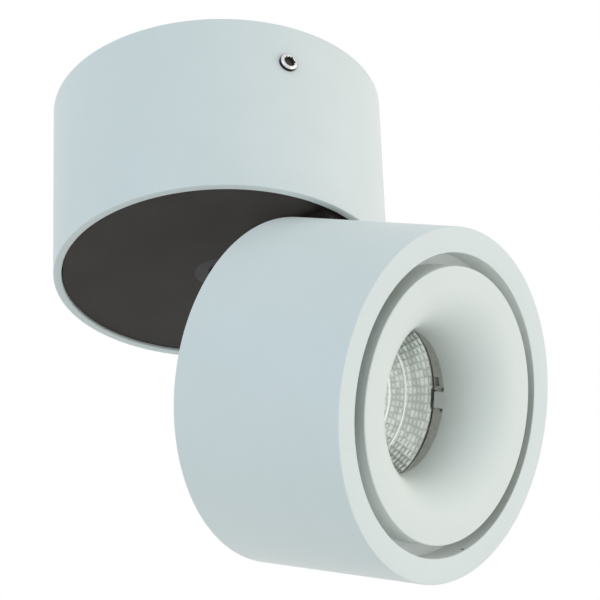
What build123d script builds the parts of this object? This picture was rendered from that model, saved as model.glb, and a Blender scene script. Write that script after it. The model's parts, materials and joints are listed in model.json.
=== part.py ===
from build123d import *
from math import cos, radians, sin, sqrt
import os

# A folding surface spotlight. A round canopy is screwed to the ceiling, a black disc turns in its
# underside, and a lamp head of the same diameter folds out on a hinge at the disc's edge.
# Origin: centre of the ceiling face. +Z points up into the ceiling. The head points towards -Y.
# All lengths are in millimetres and all angles in degrees.

os.makedirs("parts", exist_ok=True)

# ---------------------------------------------------------------- clearances
running_fit = 0.05          # radial, between a shaft and the bore it turns in
fixed_fit = 0.05            # per side, between pieces that are fastened together
turning_gap = 0.3           # between faces that move past each other

# ---------------------------------------------------------------- whole light
body_radius = 50.0          # canopy and head have the same outline
canopy_height = 58.0
head_length = 57.6
edge_round = 0.4
fold_angle = 67.0           # the head is opened this far from straight down
closed_gap = 1.0            # canopy rim to the head's rear edge when folded shut
hinge_inset = 5.3           # hinge axis inside the outline
hinge_depth = 6.6           # hinge axis in front of the head's rear edge

# ---------------------------------------------------------------- canopy
canopy_wall = 2.5
canopy_floor = 2.5
plate_thickness = 1.5
plate_gap = 0.4             # mounting plate to the canopy's wall
ceiling_slot_spacing = 60.0
ceiling_slot_length = 12.0
ceiling_slot_width = 4.5
tab_width = 10.0
tab_length = 18.0
tab_set_back = 0.3          # the tabs' flat faces lie this far inside the plate's edge
side_screw_drop = 13.15     # side screws below the ceiling
side_screw_count = 3
side_screw_start = -121.5
side_screw_radius = 1.5
side_screw_length = 7.0
side_head_radius = 2.75
side_head_height = 1.6
side_head_proud = 1.3       # the rest of the head is let into the wall
side_head_round = 0.5
side_socket_radius = 1.45
side_socket_depth = 1.1

entry_hole_radius = 9.0
grommet_lip = 1.5
grommet_wall = 2.0
grommet_flange = 1.2

terminal_length = 27.0
terminal_width = 17.0
terminal_height = 13.0
terminal_y = -23.0
terminal_poles = 3
terminal_hole_radius = 2.0
terminal_screw_radius = 1.5
terminal_screw_head_radius = 2.75
terminal_screw_head_height = 1.8
terminal_screw_sink = 5.0   # the fixing screw's head lies this deep in the block
terminal_screw_x = 4.5      # between two poles

earth_screw_x = 15.0
earth_screw_inset = 17.1    # from the plate's edge
earth_screw_radius = 2.0
earth_head_radius = 3.8
earth_head_height = 2.4
earth_screw_length = 8.0

driver_length = 50.0
driver_wall_gap = 2.4       # driver's far corners to the canopy's wall
driver_height = 22.0
driver_corner = 3.0
driver_wall = 1.6
driver_gap = 1.0            # driver to the washer on the canopy's floor
driver_lid = 3.0
driver_lid_lip = 2.0
foot_length = 7.0
foot_width = 8.0
foot_thickness = 2.0
foot_y = 20.0
driver_screw_radius = 1.5
driver_screw_head_radius = 2.75
driver_screw_head_height = 1.8

# ---------------------------------------------------------------- turning disc
disc_recess = 0.7           # black disc above the canopy's rim
disc_thickness = 4.0
hub_radius = 7.5
swivel_limit = 175.0        # each way from rest
stop_inset = 11.2           # stop groove inside the disc's edge
stop_pin_radius = 1.25
stop_groove_depth = 1.8
thrust_washer_radius = 10.5
thrust_washer_thickness = 1.0
bush_radius = 5.0
bush_bore = 3.0
bush_flange_radius = 8.0    # let into the disc, so that its face is flush
bush_flange = 1.5
bush_end = 2.0              # thread past the nut
swivel_washer_radius = 10.0
swivel_washer_thickness = 1.5
spring_washer_radius = 8.5
spring_washer_thickness = 2.0
spring_washer_split = 1.2
nut_across_flats = 17.0
nut_thickness = 5.0
bush_grommet_wall = 0.9
bush_grommet_lip = 0.6
bush_grommet_flange = 0.6
bush_grommet_length = 4.0

# ---------------------------------------------------------------- hinge
bracket_thickness = 2.0
knuckle_width = 18.0
friction_washer = 0.6
ear_radius = 4.2
ear_foot = 5.0              # ear's width where it meets the flange
bracket_reach = 25.0        # flange from the hinge towards the middle
bracket_edge = 1.0          # flange inside the disc's edge
bracket_screw_radius = 1.5
bracket_screw_head_radius = 2.8
bracket_screw_countersink = 1.3
bracket_screw_length = 5.0
bracket_screw_x = 15.0
bracket_screw_pitch = 6.5
bracket_screw_inset = 3.5   # first row of screws from the flange's inner end
pin_radius = 2.0
pin_head_radius = 3.5
pin_head = 1.6
clip_thickness = 0.7
clip_radius = 3.4
clip_groove_depth = 0.5
clip_mouth = 2.6
pin_tip = 0.8               # pin past its clip
barrel_radius = 4.4
notch_margin = 0.6          # notch in the head beside the pin's ends
notch_clearance = 0.5       # notch in front of the ears

# ---------------------------------------------------------------- head
head_wall = 2.5
front_ring_width = 7.3      # flat front ring, from the outline to the groove
front_lip = 3.0
groove_width = 3.7
groove_depth = 8.0
groove_wall = 2.0
groove_floor = 2.0
groove_seat = 3.5           # the groove's floor reaches this far under the baffle
ledge_width = 7.5
ledge_thickness = 4.0
back_plate_recess = 2.5
back_plate_thickness = 2.0
head_screw_radius = 1.5
head_screw_head_radius = 2.75
head_screw_head_height = 1.8
head_screw_length = 7.0
back_plate_screw_inset = 9.2
back_plate_screw_angles = (0, 180, 240, 300)
back_plate_boss_radius = 3.6
sink_screw_inset = 4.2      # from the head's bore
sink_screw_count = 4
sink_screw_start = 45.0
head_grommet_y = 6.0
head_grommet_hole = 5.0

# ---------------------------------------------------------------- light engine
baffle_proud = 0.6
baffle_wall = 2.0
baffle_edge = 0.35
trim_width = 5.0            # flat front of the baffle, around the bell mouth
throat_radius = 20.5
throat_depth = 16.1         # from the head's front ring to the end of the bell mouth
baffle_seat = 1.5           # flange at the throat that the grey ring lies against
collar_height = 4.7         # grey ring in front of the glass
ring_wall = 2.0
glass_lip = 1.5             # grey ring over the glass's edge
glass_thickness = 2.0
reflector_flange = 1.2
reflector_wall = 1.0
reflector_margin = 1.0      # reflector's mouth inside the glass's edge
reflector_base = 7.8
reflector_power = 0.85      # how fast the cup widens: 1 is a plain cone, 0.5 a paraboloid
reflector_sides = 54
reflector_rows = 8
ring_skirt = 1.0            # grey ring past the reflector's flange
tab_count = 3
tab_angle = 66.5            # first tab, from the hinge's direction
locking_tab_width = 4.7
tab_step = 0.1              # a locking tab's inner face outside the throat
tab_reach = 1.2             # a locking tab into its notch in the grey ring
tab_end_gap = 1.2           # a locking tab's end to the glass
notch_play = 0.25           # each side of a locking tab
notch_relief = 0.8          # each side, where the notch's mouth is wider
notch_relief_depth = 2.5
detent_width = 2.7
detent_height = 1.5
detent_offset = 5.15        # detent window from the notch's middle
detent_rise = 0.3           # detent window in front of the glass
holder_radius = 20.0
holder_thickness = 2.4
holder_pocket = 1.5
cob_size = 19.0
cob_thickness = 1.0
pad_thickness = 0.4
phosphor_radius = 7.2
phosphor_thickness = 0.6
cob_screw_circle = 16.0
cob_screw_radius = 1.25
cob_screw_head_radius = 2.3
cob_screw_head_height = 1.4
cob_screw_length = 5.0
post_radius = 3.0
post_start = 30.0
post_count = 3

# ---------------------------------------------------------------- heat sink
sink_base = 4.0
fin_height = 9.2
fin_thickness = 1.6
fin_pitch = 6.0
fin_count = 13
fin_edge = 2.0              # fins stop this far inside the sink's edge
fin_gap = 1.5               # fins to the rear cover
fin_clearance = 1.6         # fins to screws, bosses and the hinge block
knuckle_pad = 5.0
knuckle_pad_length = 20.0
knuckle_slope_end = 3.2     # the block's sloping back meets its barrel this far inside the hinge
knuckle_screw_radius = 2.0
knuckle_screw_head_radius = 3.5
knuckle_screw_head_height = 2.2
knuckle_screw_length = 8.0
knuckle_screw_spacing = 9.0
knuckle_screw_inset = 6.0

# ================================================================ levels and places
canopy_bore = body_radius - canopy_wall
rim_level = -canopy_height
disc_bottom = rim_level + disc_recess
disc_top = disc_bottom + disc_thickness
floor_bottom = disc_top + turning_gap
floor_top = floor_bottom + canopy_floor
thrust_top = floor_top + thrust_washer_thickness
hub_top = thrust_top + turning_gap
washer_top = hub_top + swivel_washer_thickness
spring_top = washer_top + spring_washer_thickness
nut_top = spring_top + nut_thickness
disc_radius = canopy_bore - turning_gap
stop_radius = disc_radius - stop_inset
plate_radius = canopy_bore - plate_gap
earth_screw_y = plate_radius - earth_screw_inset

hinge_y = body_radius - hinge_inset
hinge_z = canopy_height + closed_gap + hinge_depth
hinge_centre = (-hinge_y, -hinge_z)                 # (y, z) in the light's own frame

# The head's own axes: x along the hinge, y from the lamp's axis towards the hinge, z out of the front
forward = Vector(0, -sin(radians(fold_angle)), -cos(radians(fold_angle)))
outward = Vector(0, -cos(radians(fold_angle)), sin(radians(fold_angle)))
head_origin = Vector(0, *hinge_centre) - outward * hinge_y - forward * hinge_depth
head_rear = Plane(origin=head_origin, x_dir=(1, 0, 0), z_dir=forward)
head_half_section = Plane(origin=head_origin, x_dir=(1, 0, 0), z_dir=-outward)
head_side = Plane(origin=head_origin, x_dir=outward, z_dir=(1, 0, 0))
head_axis = Axis(head_origin, forward)

head_bore = body_radius - head_wall
sink_radius = head_bore - turning_gap
front_ring_inner = body_radius - front_ring_width
baffle_radius = front_ring_inner - groove_width
groove_floor_inner = baffle_radius - groove_seat
bell_radius = baffle_radius - trim_width    # where the flat front turns into the bell mouth
throat_level = head_length - throat_depth
glass_front = throat_level - collar_height
glass_rear = glass_front - glass_thickness
flange_rear = glass_rear - reflector_flange
ring_rear = flange_rear - ring_skirt
cover_front = back_plate_recess + back_plate_thickness
fin_rear = cover_front + fin_gap
sink_rear = fin_rear + fin_height
sink_front = sink_rear + sink_base
reflector_rear = sink_front + holder_thickness
reflector_height = glass_rear - reflector_rear
pad_front = sink_front + pad_thickness
cob_front = pad_front + cob_thickness
baffle_face = head_length + baffle_proud
skirt_end = head_length - groove_depth

barrel_half = knuckle_width / 2
ear_inner = barrel_half + friction_washer + turning_gap
ear_outer = ear_inner + bracket_thickness
clip_start = ear_outer + fixed_fit
pin_end = clip_start + clip_thickness + pin_tip
notch_half = max(ear_outer + pin_head, pin_end) + notch_margin
notch_front = hinge_depth + ear_radius + notch_clearance
notch_inner = hinge_y - ear_radius - notch_clearance

bracket_bottom = disc_bottom - bracket_thickness
bracket_inner = hinge_y - bracket_reach
bracket_screw_y = bracket_inner + bracket_screw_inset + bracket_screw_pitch / 2


def polar(radius, angle):
    """Point on a circle about the local origin."""
    return (radius * cos(radians(angle)), radius * sin(radians(angle)))


def wall_plane(angle, radius):
    """Plane square to a radius of the canopy at the side screws' height, facing outwards."""
    x, y = polar(radius, angle)
    return Plane(origin=(x, y, -side_screw_drop), x_dir=(0, 0, 1), z_dir=(x, y, 0))


def rear_seat(x, y, level):
    """Plane on a rearward face inside the head, facing the rear."""
    origin = head_origin + Vector(1, 0, 0) * x + outward * y + forward * level
    return Plane(origin=origin, x_dir=(1, 0, 0), z_dir=-forward)


def front_seat(x, y, level):
    """Plane on a forward face inside the head, facing the front."""
    origin = head_origin + Vector(1, 0, 0) * x + outward * y + forward * level
    return Plane(origin=origin, x_dir=(1, 0, 0), z_dir=forward)


def socket_screws(seats, shank_radius, shank_length, head_radius, head_height):
    """Round headed screws, each with its head on a seat and its shank behind it."""
    with BuildPart() as screws:
        for seat in seats:
            with BuildSketch(seat):
                Circle(head_radius)
            extrude(amount=head_height)
            with BuildSketch(seat):
                Circle(shank_radius)
            extrude(amount=-shank_length)
            with BuildSketch(seat.offset(head_height)):
                RegularPolygon(head_radius / 2, 6)
            extrude(amount=-head_height / 2, mode=Mode.SUBTRACT)
    return screws


side_screw_angles = [side_screw_start + 360 / side_screw_count * i for i in range(side_screw_count)]
side_seat_radius = body_radius + side_head_proud - side_head_height
tab_face = plate_radius - tab_set_back
ceiling_slots = [(-ceiling_slot_spacing / 2, 0), (ceiling_slot_spacing / 2, 0)]
foot_spots = [(side * (driver_length + foot_length) / 2, foot_y) for side in (-1, 1)]
sink_screw_circle = head_bore - sink_screw_inset
sink_screw_spots = [
    polar(sink_screw_circle, sink_screw_start + 360 / sink_screw_count * i) for i in range(sink_screw_count)
]
cover_screw_circle = sink_radius - back_plate_screw_inset
cover_screw_spots = [polar(cover_screw_circle, angle) for angle in back_plate_screw_angles]
collar_radius = throat_radius + baffle_wall     # grey ring's bore
glass_radius = collar_radius + glass_lip
reflector_mouth = glass_radius - reflector_margin
ring_bore = glass_radius + fixed_fit
ring_radius = ring_bore + ring_wall
post_circle = (ring_radius + baffle_radius - baffle_wall) / 2
post_spots = [polar(post_circle, post_start + 360 / post_count * i) for i in range(post_count)]
cob_screw_spots = [polar(cob_screw_circle, angle) for angle in (0, 180)]
knuckle_pad_end = hinge_y - barrel_radius - knuckle_pad_length
knuckle_screw_y = knuckle_pad_end + knuckle_screw_inset
knuckle_screw_spots = [(side * knuckle_screw_spacing / 2, knuckle_screw_y) for side in (-1, 1)]

# ================================================================ canopy, fixed to the ceiling
with BuildPart() as mounting_plate:
    with BuildSketch(Plane.XY.offset(-plate_thickness)):
        Circle(plate_radius)
        Circle(entry_hole_radius, mode=Mode.SUBTRACT)
        with Locations(*ceiling_slots):
            SlotOverall(ceiling_slot_length, ceiling_slot_width, mode=Mode.SUBTRACT)
        with Locations((terminal_screw_x, terminal_y)):
            Circle(terminal_screw_radius + fixed_fit, mode=Mode.SUBTRACT)
        with Locations((earth_screw_x, earth_screw_y)):
            Circle(earth_screw_radius + fixed_fit, mode=Mode.SUBTRACT)
    extrude(amount=plate_thickness)
    with BuildSketch(Plane.XY.offset(-plate_thickness)):
        with PolarLocations(tab_face - plate_thickness / 2, side_screw_count, side_screw_start):
            Rectangle(plate_thickness, tab_width)
    extrude(amount=plate_thickness - tab_length)
    for angle in side_screw_angles:
        with BuildSketch(wall_plane(angle, tab_face)):
            Circle(side_screw_radius + fixed_fit)
        extrude(amount=-2 * plate_thickness, mode=Mode.SUBTRACT)
mounting_plate.part.label = "mounting_plate"
export_step(mounting_plate.part, "parts/mounting_plate.step")

with BuildPart() as canopy_shell:
    with BuildSketch(Plane.XY.offset(rim_level)):
        Circle(body_radius)
        Circle(canopy_bore, mode=Mode.SUBTRACT)
    extrude(amount=canopy_height)
    fillet(canopy_shell.edges().group_by(Axis.Z)[0].filter_by(GeomType.CIRCLE), edge_round)
    with BuildSketch(Plane.XY.offset(floor_bottom)):
        Circle(canopy_bore)
        Circle(hub_radius + running_fit, mode=Mode.SUBTRACT)
        with Locations((0, stop_radius)):
            Circle(stop_pin_radius + fixed_fit, mode=Mode.SUBTRACT)
        with Locations(*foot_spots):
            Circle(driver_screw_radius + fixed_fit, mode=Mode.SUBTRACT)
    extrude(amount=canopy_floor)
    for angle in side_screw_angles:
        with BuildSketch(wall_plane(angle, body_radius + side_head_proud)):
            Circle(side_head_radius + fixed_fit)
        extrude(amount=-side_head_height, mode=Mode.SUBTRACT)
        with BuildSketch(wall_plane(angle, body_radius)):
            Circle(side_screw_radius + fixed_fit)
        extrude(amount=-2 * canopy_wall, mode=Mode.SUBTRACT)
canopy_shell.part.label = "canopy_shell"
export_step(canopy_shell.part, "parts/canopy_shell.step")

with BuildPart() as canopy_screws:
    for angle in side_screw_angles:
        with BuildSketch(wall_plane(angle, side_seat_radius)):
            Circle(side_head_radius)
        extrude(amount=side_head_height)
        with BuildSketch(wall_plane(angle, side_seat_radius)):
            Circle(side_screw_radius)
        extrude(amount=-side_screw_length)
    head_rims = canopy_screws.edges().filter_by(
        lambda edge: edge.geom_type == GeomType.CIRCLE
        and abs(edge.radius - side_head_radius) < running_fit
        and edge.arc_center.X**2 + edge.arc_center.Y**2 > body_radius**2
    )
    fillet(head_rims, side_head_round)
    for angle in side_screw_angles:
        with BuildSketch(wall_plane(angle, side_seat_radius + side_head_height)):
            RegularPolygon(side_socket_radius, 6)
        extrude(amount=-side_socket_depth, mode=Mode.SUBTRACT)
canopy_screws.part.label = "canopy_screws"
export_step(canopy_screws.part, "parts/canopy_screws.step")

with BuildPart() as entry_grommet:
    with BuildSketch(Plane.XY.offset(-plate_thickness)):
        Circle(entry_hole_radius - fixed_fit)
    extrude(amount=plate_thickness)
    with BuildSketch(Plane.XY.offset(-plate_thickness - grommet_flange)):
        Circle(entry_hole_radius + grommet_lip)
    extrude(amount=grommet_flange)
    with BuildSketch(Plane.XY):
        Circle(entry_hole_radius - grommet_wall)
    extrude(amount=-2 * plate_thickness - grommet_flange, mode=Mode.SUBTRACT)
entry_grommet.part.label = "entry_grommet"
export_step(entry_grommet.part, "parts/entry_grommet.step")

with BuildPart() as terminal_block:
    pole_pitch = terminal_length / terminal_poles
    with BuildSketch(Plane.XY.offset(-plate_thickness)):
        with Locations((0, terminal_y)):
            RectangleRounded(terminal_length, terminal_width, 1.0)
    extrude(amount=-terminal_height)
    with BuildSketch(Plane.XZ.offset(-terminal_y + terminal_width / 2)):
        with Locations((0, -plate_thickness - terminal_height / 3)):
            with GridLocations(pole_pitch, 1, terminal_poles, 1):
                Circle(terminal_hole_radius)
    extrude(amount=-terminal_width, mode=Mode.SUBTRACT)
    with BuildSketch(Plane.XY.offset(-plate_thickness - terminal_height)):
        with Locations((terminal_screw_x, terminal_y)):
            Circle(terminal_screw_head_radius + fixed_fit)
    extrude(amount=terminal_screw_sink, mode=Mode.SUBTRACT)
    with BuildSketch(Plane.XY.offset(-plate_thickness)):
        with Locations((terminal_screw_x, terminal_y)):
            Circle(terminal_screw_radius + fixed_fit)
    extrude(amount=-terminal_height, mode=Mode.SUBTRACT)
terminal_block.part.label = "terminal_block"
export_step(terminal_block.part, "parts/terminal_block.step")

terminal_seat = -plate_thickness - terminal_height + terminal_screw_sink
terminal_screw = socket_screws(
    [Plane(origin=(terminal_screw_x, terminal_y, terminal_seat), x_dir=(1, 0, 0), z_dir=(0, 0, -1))],
    terminal_screw_radius,
    terminal_height - terminal_screw_sink + plate_thickness,
    terminal_screw_head_radius,
    terminal_screw_head_height,
)
terminal_screw.part.label = "terminal_screw"
export_step(terminal_screw.part, "parts/terminal_screw.step")

with BuildPart() as earth_screw:
    with BuildSketch(Plane.XY):
        with Locations((earth_screw_x, earth_screw_y)):
            Circle(earth_screw_radius)
    extrude(amount=-earth_screw_length)
    with BuildSketch(Plane.XY.offset(-plate_thickness)):
        with Locations((earth_screw_x, earth_screw_y)):
            Circle(earth_head_radius)
    extrude(amount=-earth_head_height)
earth_screw.part.label = "earth_screw"
export_step(earth_screw.part, "parts/earth_screw.step")

driver_body_height = driver_height - driver_lid
driver_near = thrust_washer_radius + driver_gap
driver_far = sqrt((canopy_bore - driver_wall_gap) ** 2 - (driver_length / 2) ** 2)
driver_width = driver_far - driver_near
driver_y = (driver_near + driver_far) / 2
with BuildPart() as driver_case:
    with BuildSketch(Plane.XY.offset(floor_top)):
        with Locations((0, driver_y)):
            RectangleRounded(driver_length, driver_width, driver_corner)
    extrude(amount=driver_body_height)
    with BuildSketch(Plane.XY.offset(floor_top + driver_wall)):
        with Locations((0, driver_y)):
            RectangleRounded(
                driver_length - 2 * driver_wall, driver_width - 2 * driver_wall, driver_corner - driver_wall
            )
    extrude(amount=driver_body_height, mode=Mode.SUBTRACT)
    with BuildSketch(Plane.XY.offset(floor_top)):
        with Locations(*foot_spots):
            Rectangle(foot_length, foot_width)
            Circle(driver_screw_radius + fixed_fit, mode=Mode.SUBTRACT)
    extrude(amount=foot_thickness)
driver_case.part.label = "driver_case"
export_step(driver_case.part, "parts/driver_case.step")

with BuildPart() as driver_cover:
    lip_inset = 2 * (driver_wall + fixed_fit)
    with BuildSketch(Plane.XY.offset(floor_top + driver_body_height)):
        with Locations((0, driver_y)):
            RectangleRounded(driver_length, driver_width, driver_corner)
    extrude(amount=driver_lid)
    with BuildSketch(Plane.XY.offset(floor_top + driver_body_height)):
        with Locations((0, driver_y)):
            RectangleRounded(
                driver_length - lip_inset, driver_width - lip_inset, driver_corner - lip_inset / 2
            )
    extrude(amount=-driver_lid_lip)
driver_cover.part.label = "driver_cover"
export_step(driver_cover.part, "parts/driver_cover.step")

driver_screws = socket_screws(
    [Plane(origin=(x, y, floor_top + foot_thickness)) for x, y in foot_spots],
    driver_screw_radius,
    foot_thickness + canopy_floor,
    driver_screw_head_radius,
    driver_screw_head_height,
)
driver_screws.part.label = "driver_screws"
export_step(driver_screws.part, "parts/driver_screws.step")

with BuildPart() as stop_pin:
    with BuildSketch(Plane.XY.offset(disc_top - stop_groove_depth + turning_gap)):
        with Locations((0, stop_radius)):
            Circle(stop_pin_radius)
    extrude(amount=floor_top - disc_top + stop_groove_depth - turning_gap)
stop_pin.part.label = "stop_pin"
export_step(stop_pin.part, "parts/stop_pin.step")

with BuildPart() as thrust_washer:
    with BuildSketch(Plane.XY.offset(floor_top)):
        Circle(thrust_washer_radius)
        Circle(hub_radius + running_fit, mode=Mode.SUBTRACT)
    extrude(amount=thrust_washer_thickness)
thrust_washer.part.label = "thrust_washer"
export_step(thrust_washer.part, "parts/thrust_washer.step")

# ================================================================ turning disc
with BuildPart() as swivel_disc:
    with BuildSketch(Plane.XY.offset(disc_bottom)):
        Circle(disc_radius)
    extrude(amount=disc_thickness)
    with BuildSketch(Plane.XY.offset(disc_top)):
        Circle(hub_radius)
    extrude(amount=hub_top - disc_top)
    with BuildSketch(Plane.XY.offset(disc_bottom)):
        Circle(bush_radius + fixed_fit)
        with Locations((0, -bracket_screw_y)):
            with GridLocations(bracket_screw_x, bracket_screw_pitch, 2, 2):
                Circle(bracket_screw_radius + fixed_fit)
    extrude(amount=hub_top - disc_bottom, mode=Mode.SUBTRACT)
    with BuildSketch(Plane.XY.offset(disc_bottom)):
        Circle(bush_flange_radius + fixed_fit)
    extrude(amount=bush_flange, mode=Mode.SUBTRACT)
    # The stop groove runs all round but for a land that the pin meets at both ends of the turn
    groove_half = stop_pin_radius + turning_gap
    land_half = stop_radius * sin(radians(180 - swivel_limit)) - groove_half
    with BuildSketch(Plane.XY.offset(disc_top)):
        Circle(stop_radius + groove_half)
        Circle(stop_radius - groove_half, mode=Mode.SUBTRACT)
        with Locations((0, -stop_radius)):
            Rectangle(2 * land_half, 4 * groove_half, mode=Mode.SUBTRACT)
    extrude(amount=-stop_groove_depth, mode=Mode.SUBTRACT)
swivel_disc.part.label = "swivel_disc"
export_step(swivel_disc.part, "parts/swivel_disc.step")

with BuildPart() as swivel_bush:
    bush_length = nut_top + bush_end - disc_bottom
    with BuildSketch(Plane.XY.offset(disc_bottom)):
        Circle(bush_flange_radius)
    extrude(amount=bush_flange)
    with BuildSketch(Plane.XY.offset(disc_bottom)):
        Circle(bush_radius)
    extrude(amount=bush_length)
    with BuildSketch(Plane.XY.offset(disc_bottom)):
        Circle(bush_bore)
    extrude(amount=bush_length, mode=Mode.SUBTRACT)
swivel_bush.part.label = "swivel_bush"
export_step(swivel_bush.part, "parts/swivel_bush.step")

with BuildPart() as swivel_washer:
    with BuildSketch(Plane.XY.offset(hub_top)):
        Circle(swivel_washer_radius)
        Circle(bush_radius + fixed_fit, mode=Mode.SUBTRACT)
    extrude(amount=swivel_washer_thickness)
swivel_washer.part.label = "swivel_washer"
export_step(swivel_washer.part, "parts/swivel_washer.step")

with BuildPart() as spring_washer:
    with BuildSketch(Plane.XY.offset(washer_top)):
        Circle(spring_washer_radius)
        Circle(bush_radius + fixed_fit, mode=Mode.SUBTRACT)
        with Locations((spring_washer_radius, 0)):
            Rectangle(2 * (spring_washer_radius - bush_radius) + 1, spring_washer_split, mode=Mode.SUBTRACT)
    extrude(amount=spring_washer_thickness)
spring_washer.part.label = "spring_washer"
export_step(spring_washer.part, "parts/spring_washer.step")

with BuildPart() as swivel_nut:
    with BuildSketch(Plane.XY.offset(spring_top)):
        RegularPolygon(nut_across_flats / 2, 6, major_radius=False)
        Circle(bush_radius + fixed_fit, mode=Mode.SUBTRACT)
    extrude(amount=nut_thickness)
swivel_nut.part.label = "swivel_nut"
export_step(swivel_nut.part, "parts/swivel_nut.step")

with BuildPart() as bush_grommet:
    with BuildSketch(Plane.XY.offset(disc_bottom)):
        Circle(bush_bore - fixed_fit)
    extrude(amount=bush_grommet_length)
    with BuildSketch(Plane.XY.offset(disc_bottom - bush_grommet_flange)):
        Circle(bush_bore + bush_grommet_lip)
    extrude(amount=bush_grommet_flange)
    with BuildSketch(Plane.XY.offset(disc_bottom - bush_grommet_flange)):
        Circle(bush_bore - bush_grommet_wall)
    extrude(amount=bush_grommet_flange + bush_grommet_length, mode=Mode.SUBTRACT)
bush_grommet.part.label = "bush_grommet"
export_step(bush_grommet.part, "parts/bush_grommet.step")

# ================================================================ hinge
with BuildPart() as hinge_bracket:
    with BuildSketch(Plane.XY.offset(bracket_bottom)):
        with Locations((0, -(bracket_inner + body_radius / 2))):
            Rectangle(2 * ear_outer, body_radius)
        Circle(disc_radius - bracket_edge, mode=Mode.INTERSECT)
    extrude(amount=bracket_thickness)
    for start in (ear_inner, -ear_outer):
        with BuildSketch(Plane.YZ.offset(start)):
            with Locations(hinge_centre):
                Circle(ear_radius)
            with BuildLine():
                ear_top_inner = -hinge_y + ear_radius
                Polyline(
                    (-hinge_y - ear_radius, -hinge_z),
                    (ear_top_inner - ear_foot, bracket_bottom),
                    (ear_top_inner, bracket_bottom),
                    (ear_top_inner, -hinge_z),
                    close=True,
                )
            make_face()
        extrude(amount=bracket_thickness)
    with BuildSketch(Plane.YZ.offset(-ear_outer)):
        with Locations(hinge_centre):
            Circle(pin_radius + fixed_fit)
    extrude(amount=2 * ear_outer, mode=Mode.SUBTRACT)
    with Locations((0, -bracket_screw_y, bracket_bottom)):
        with GridLocations(bracket_screw_x, bracket_screw_pitch, 2, 2):
            Cylinder(
                bracket_screw_radius + fixed_fit,
                bracket_thickness,
                align=(Align.CENTER, Align.CENTER, Align.MIN),
                mode=Mode.SUBTRACT,
            )
            Cone(
                bracket_screw_head_radius + fixed_fit,
                bracket_screw_radius + fixed_fit,
                bracket_screw_countersink,
                align=(Align.CENTER, Align.CENTER, Align.MIN),
                mode=Mode.SUBTRACT,
            )
hinge_bracket.part.label = "hinge_bracket"
export_step(hinge_bracket.part, "parts/hinge_bracket.step")

with BuildPart() as bracket_screws:
    with Locations((0, -bracket_screw_y, bracket_bottom)):
        with GridLocations(bracket_screw_x, bracket_screw_pitch, 2, 2):
            Cylinder(
                bracket_screw_radius, bracket_screw_length, align=(Align.CENTER, Align.CENTER, Align.MIN)
            )
            Cone(
                bracket_screw_head_radius,
                bracket_screw_radius,
                bracket_screw_countersink,
                align=(Align.CENTER, Align.CENTER, Align.MIN),
            )
bracket_screws.part.label = "bracket_screws"
export_step(bracket_screws.part, "parts/bracket_screws.step")

with BuildPart() as hinge_pin:
    with BuildSketch(Plane.YZ.offset(-pin_end)):
        with Locations(hinge_centre):
            Circle(pin_radius)
    extrude(amount=pin_end + ear_outer)
    with BuildSketch(Plane.YZ.offset(ear_outer)):
        with Locations(hinge_centre):
            Circle(pin_head_radius)
    extrude(amount=pin_head)
    with BuildSketch(Plane.YZ.offset(-clip_start - clip_thickness)):
        with Locations(hinge_centre):
            Circle(pin_radius)
            Circle(pin_radius - clip_groove_depth, mode=Mode.SUBTRACT)
    extrude(amount=clip_thickness, mode=Mode.SUBTRACT)
hinge_pin.part.label = "hinge_pin"
export_step(hinge_pin.part, "parts/hinge_pin.step")

with BuildPart() as pin_clip:
    with BuildSketch(Plane.YZ.offset(-clip_start - clip_thickness + fixed_fit)):
        with Locations(hinge_centre):
            Circle(clip_radius)
            Circle(pin_radius - clip_groove_depth + fixed_fit, mode=Mode.SUBTRACT)
        with Locations((-hinge_y, -hinge_z - clip_radius / 2)):
            Rectangle(clip_mouth, clip_radius, mode=Mode.SUBTRACT)
    extrude(amount=clip_thickness - 2 * fixed_fit)
pin_clip.part.label = "pin_clip"
export_step(pin_clip.part, "parts/pin_clip.step")

with BuildPart() as hinge_knuckle:
    knuckle_rear = hinge_y - knuckle_slope_end
    knuckle_right = sqrt(sink_radius**2 - barrel_half**2)
    with BuildSketch(head_side.offset(-barrel_half)):
        with BuildLine():
            Polyline(
                (knuckle_pad_end, sink_rear),
                (knuckle_pad_end, sink_rear - knuckle_pad),
                (knuckle_rear - knuckle_pad, sink_rear - knuckle_pad),
                (knuckle_rear, hinge_depth),
                (knuckle_right, hinge_depth),
                (knuckle_right, sink_rear),
                close=True,
            )
        make_face()
        with Locations((hinge_y, hinge_depth)):
            Circle(barrel_radius)
    extrude(amount=knuckle_width)
    with BuildSketch(head_side.offset(-barrel_half)):
        with Locations((hinge_y, hinge_depth)):
            Circle(pin_radius + running_fit)
    extrude(amount=knuckle_width, mode=Mode.SUBTRACT)
    with BuildSketch(head_rear.offset(sink_rear)):
        with Locations(*knuckle_screw_spots):
            Circle(knuckle_screw_radius + fixed_fit)
    extrude(amount=-2 * knuckle_pad, mode=Mode.SUBTRACT)
hinge_knuckle.part.label = "hinge_knuckle"
export_step(hinge_knuckle.part, "parts/hinge_knuckle.step")

knuckle_screws = socket_screws(
    [rear_seat(x, y, sink_rear - knuckle_pad) for x, y in knuckle_screw_spots],
    knuckle_screw_radius,
    knuckle_screw_length,
    knuckle_screw_head_radius,
    knuckle_screw_head_height,
)
knuckle_screws.part.label = "knuckle_screws"
export_step(knuckle_screws.part, "parts/knuckle_screws.step")

with BuildPart() as friction_washers:
    for start in (barrel_half, -barrel_half - friction_washer):
        with BuildSketch(head_side.offset(start)):
            with Locations((hinge_y, hinge_depth)):
                Circle(barrel_radius)
                Circle(pin_radius + running_fit, mode=Mode.SUBTRACT)
        extrude(amount=friction_washer)
friction_washers.part.label = "friction_washers"
export_step(friction_washers.part, "parts/friction_washers.step")

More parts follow.
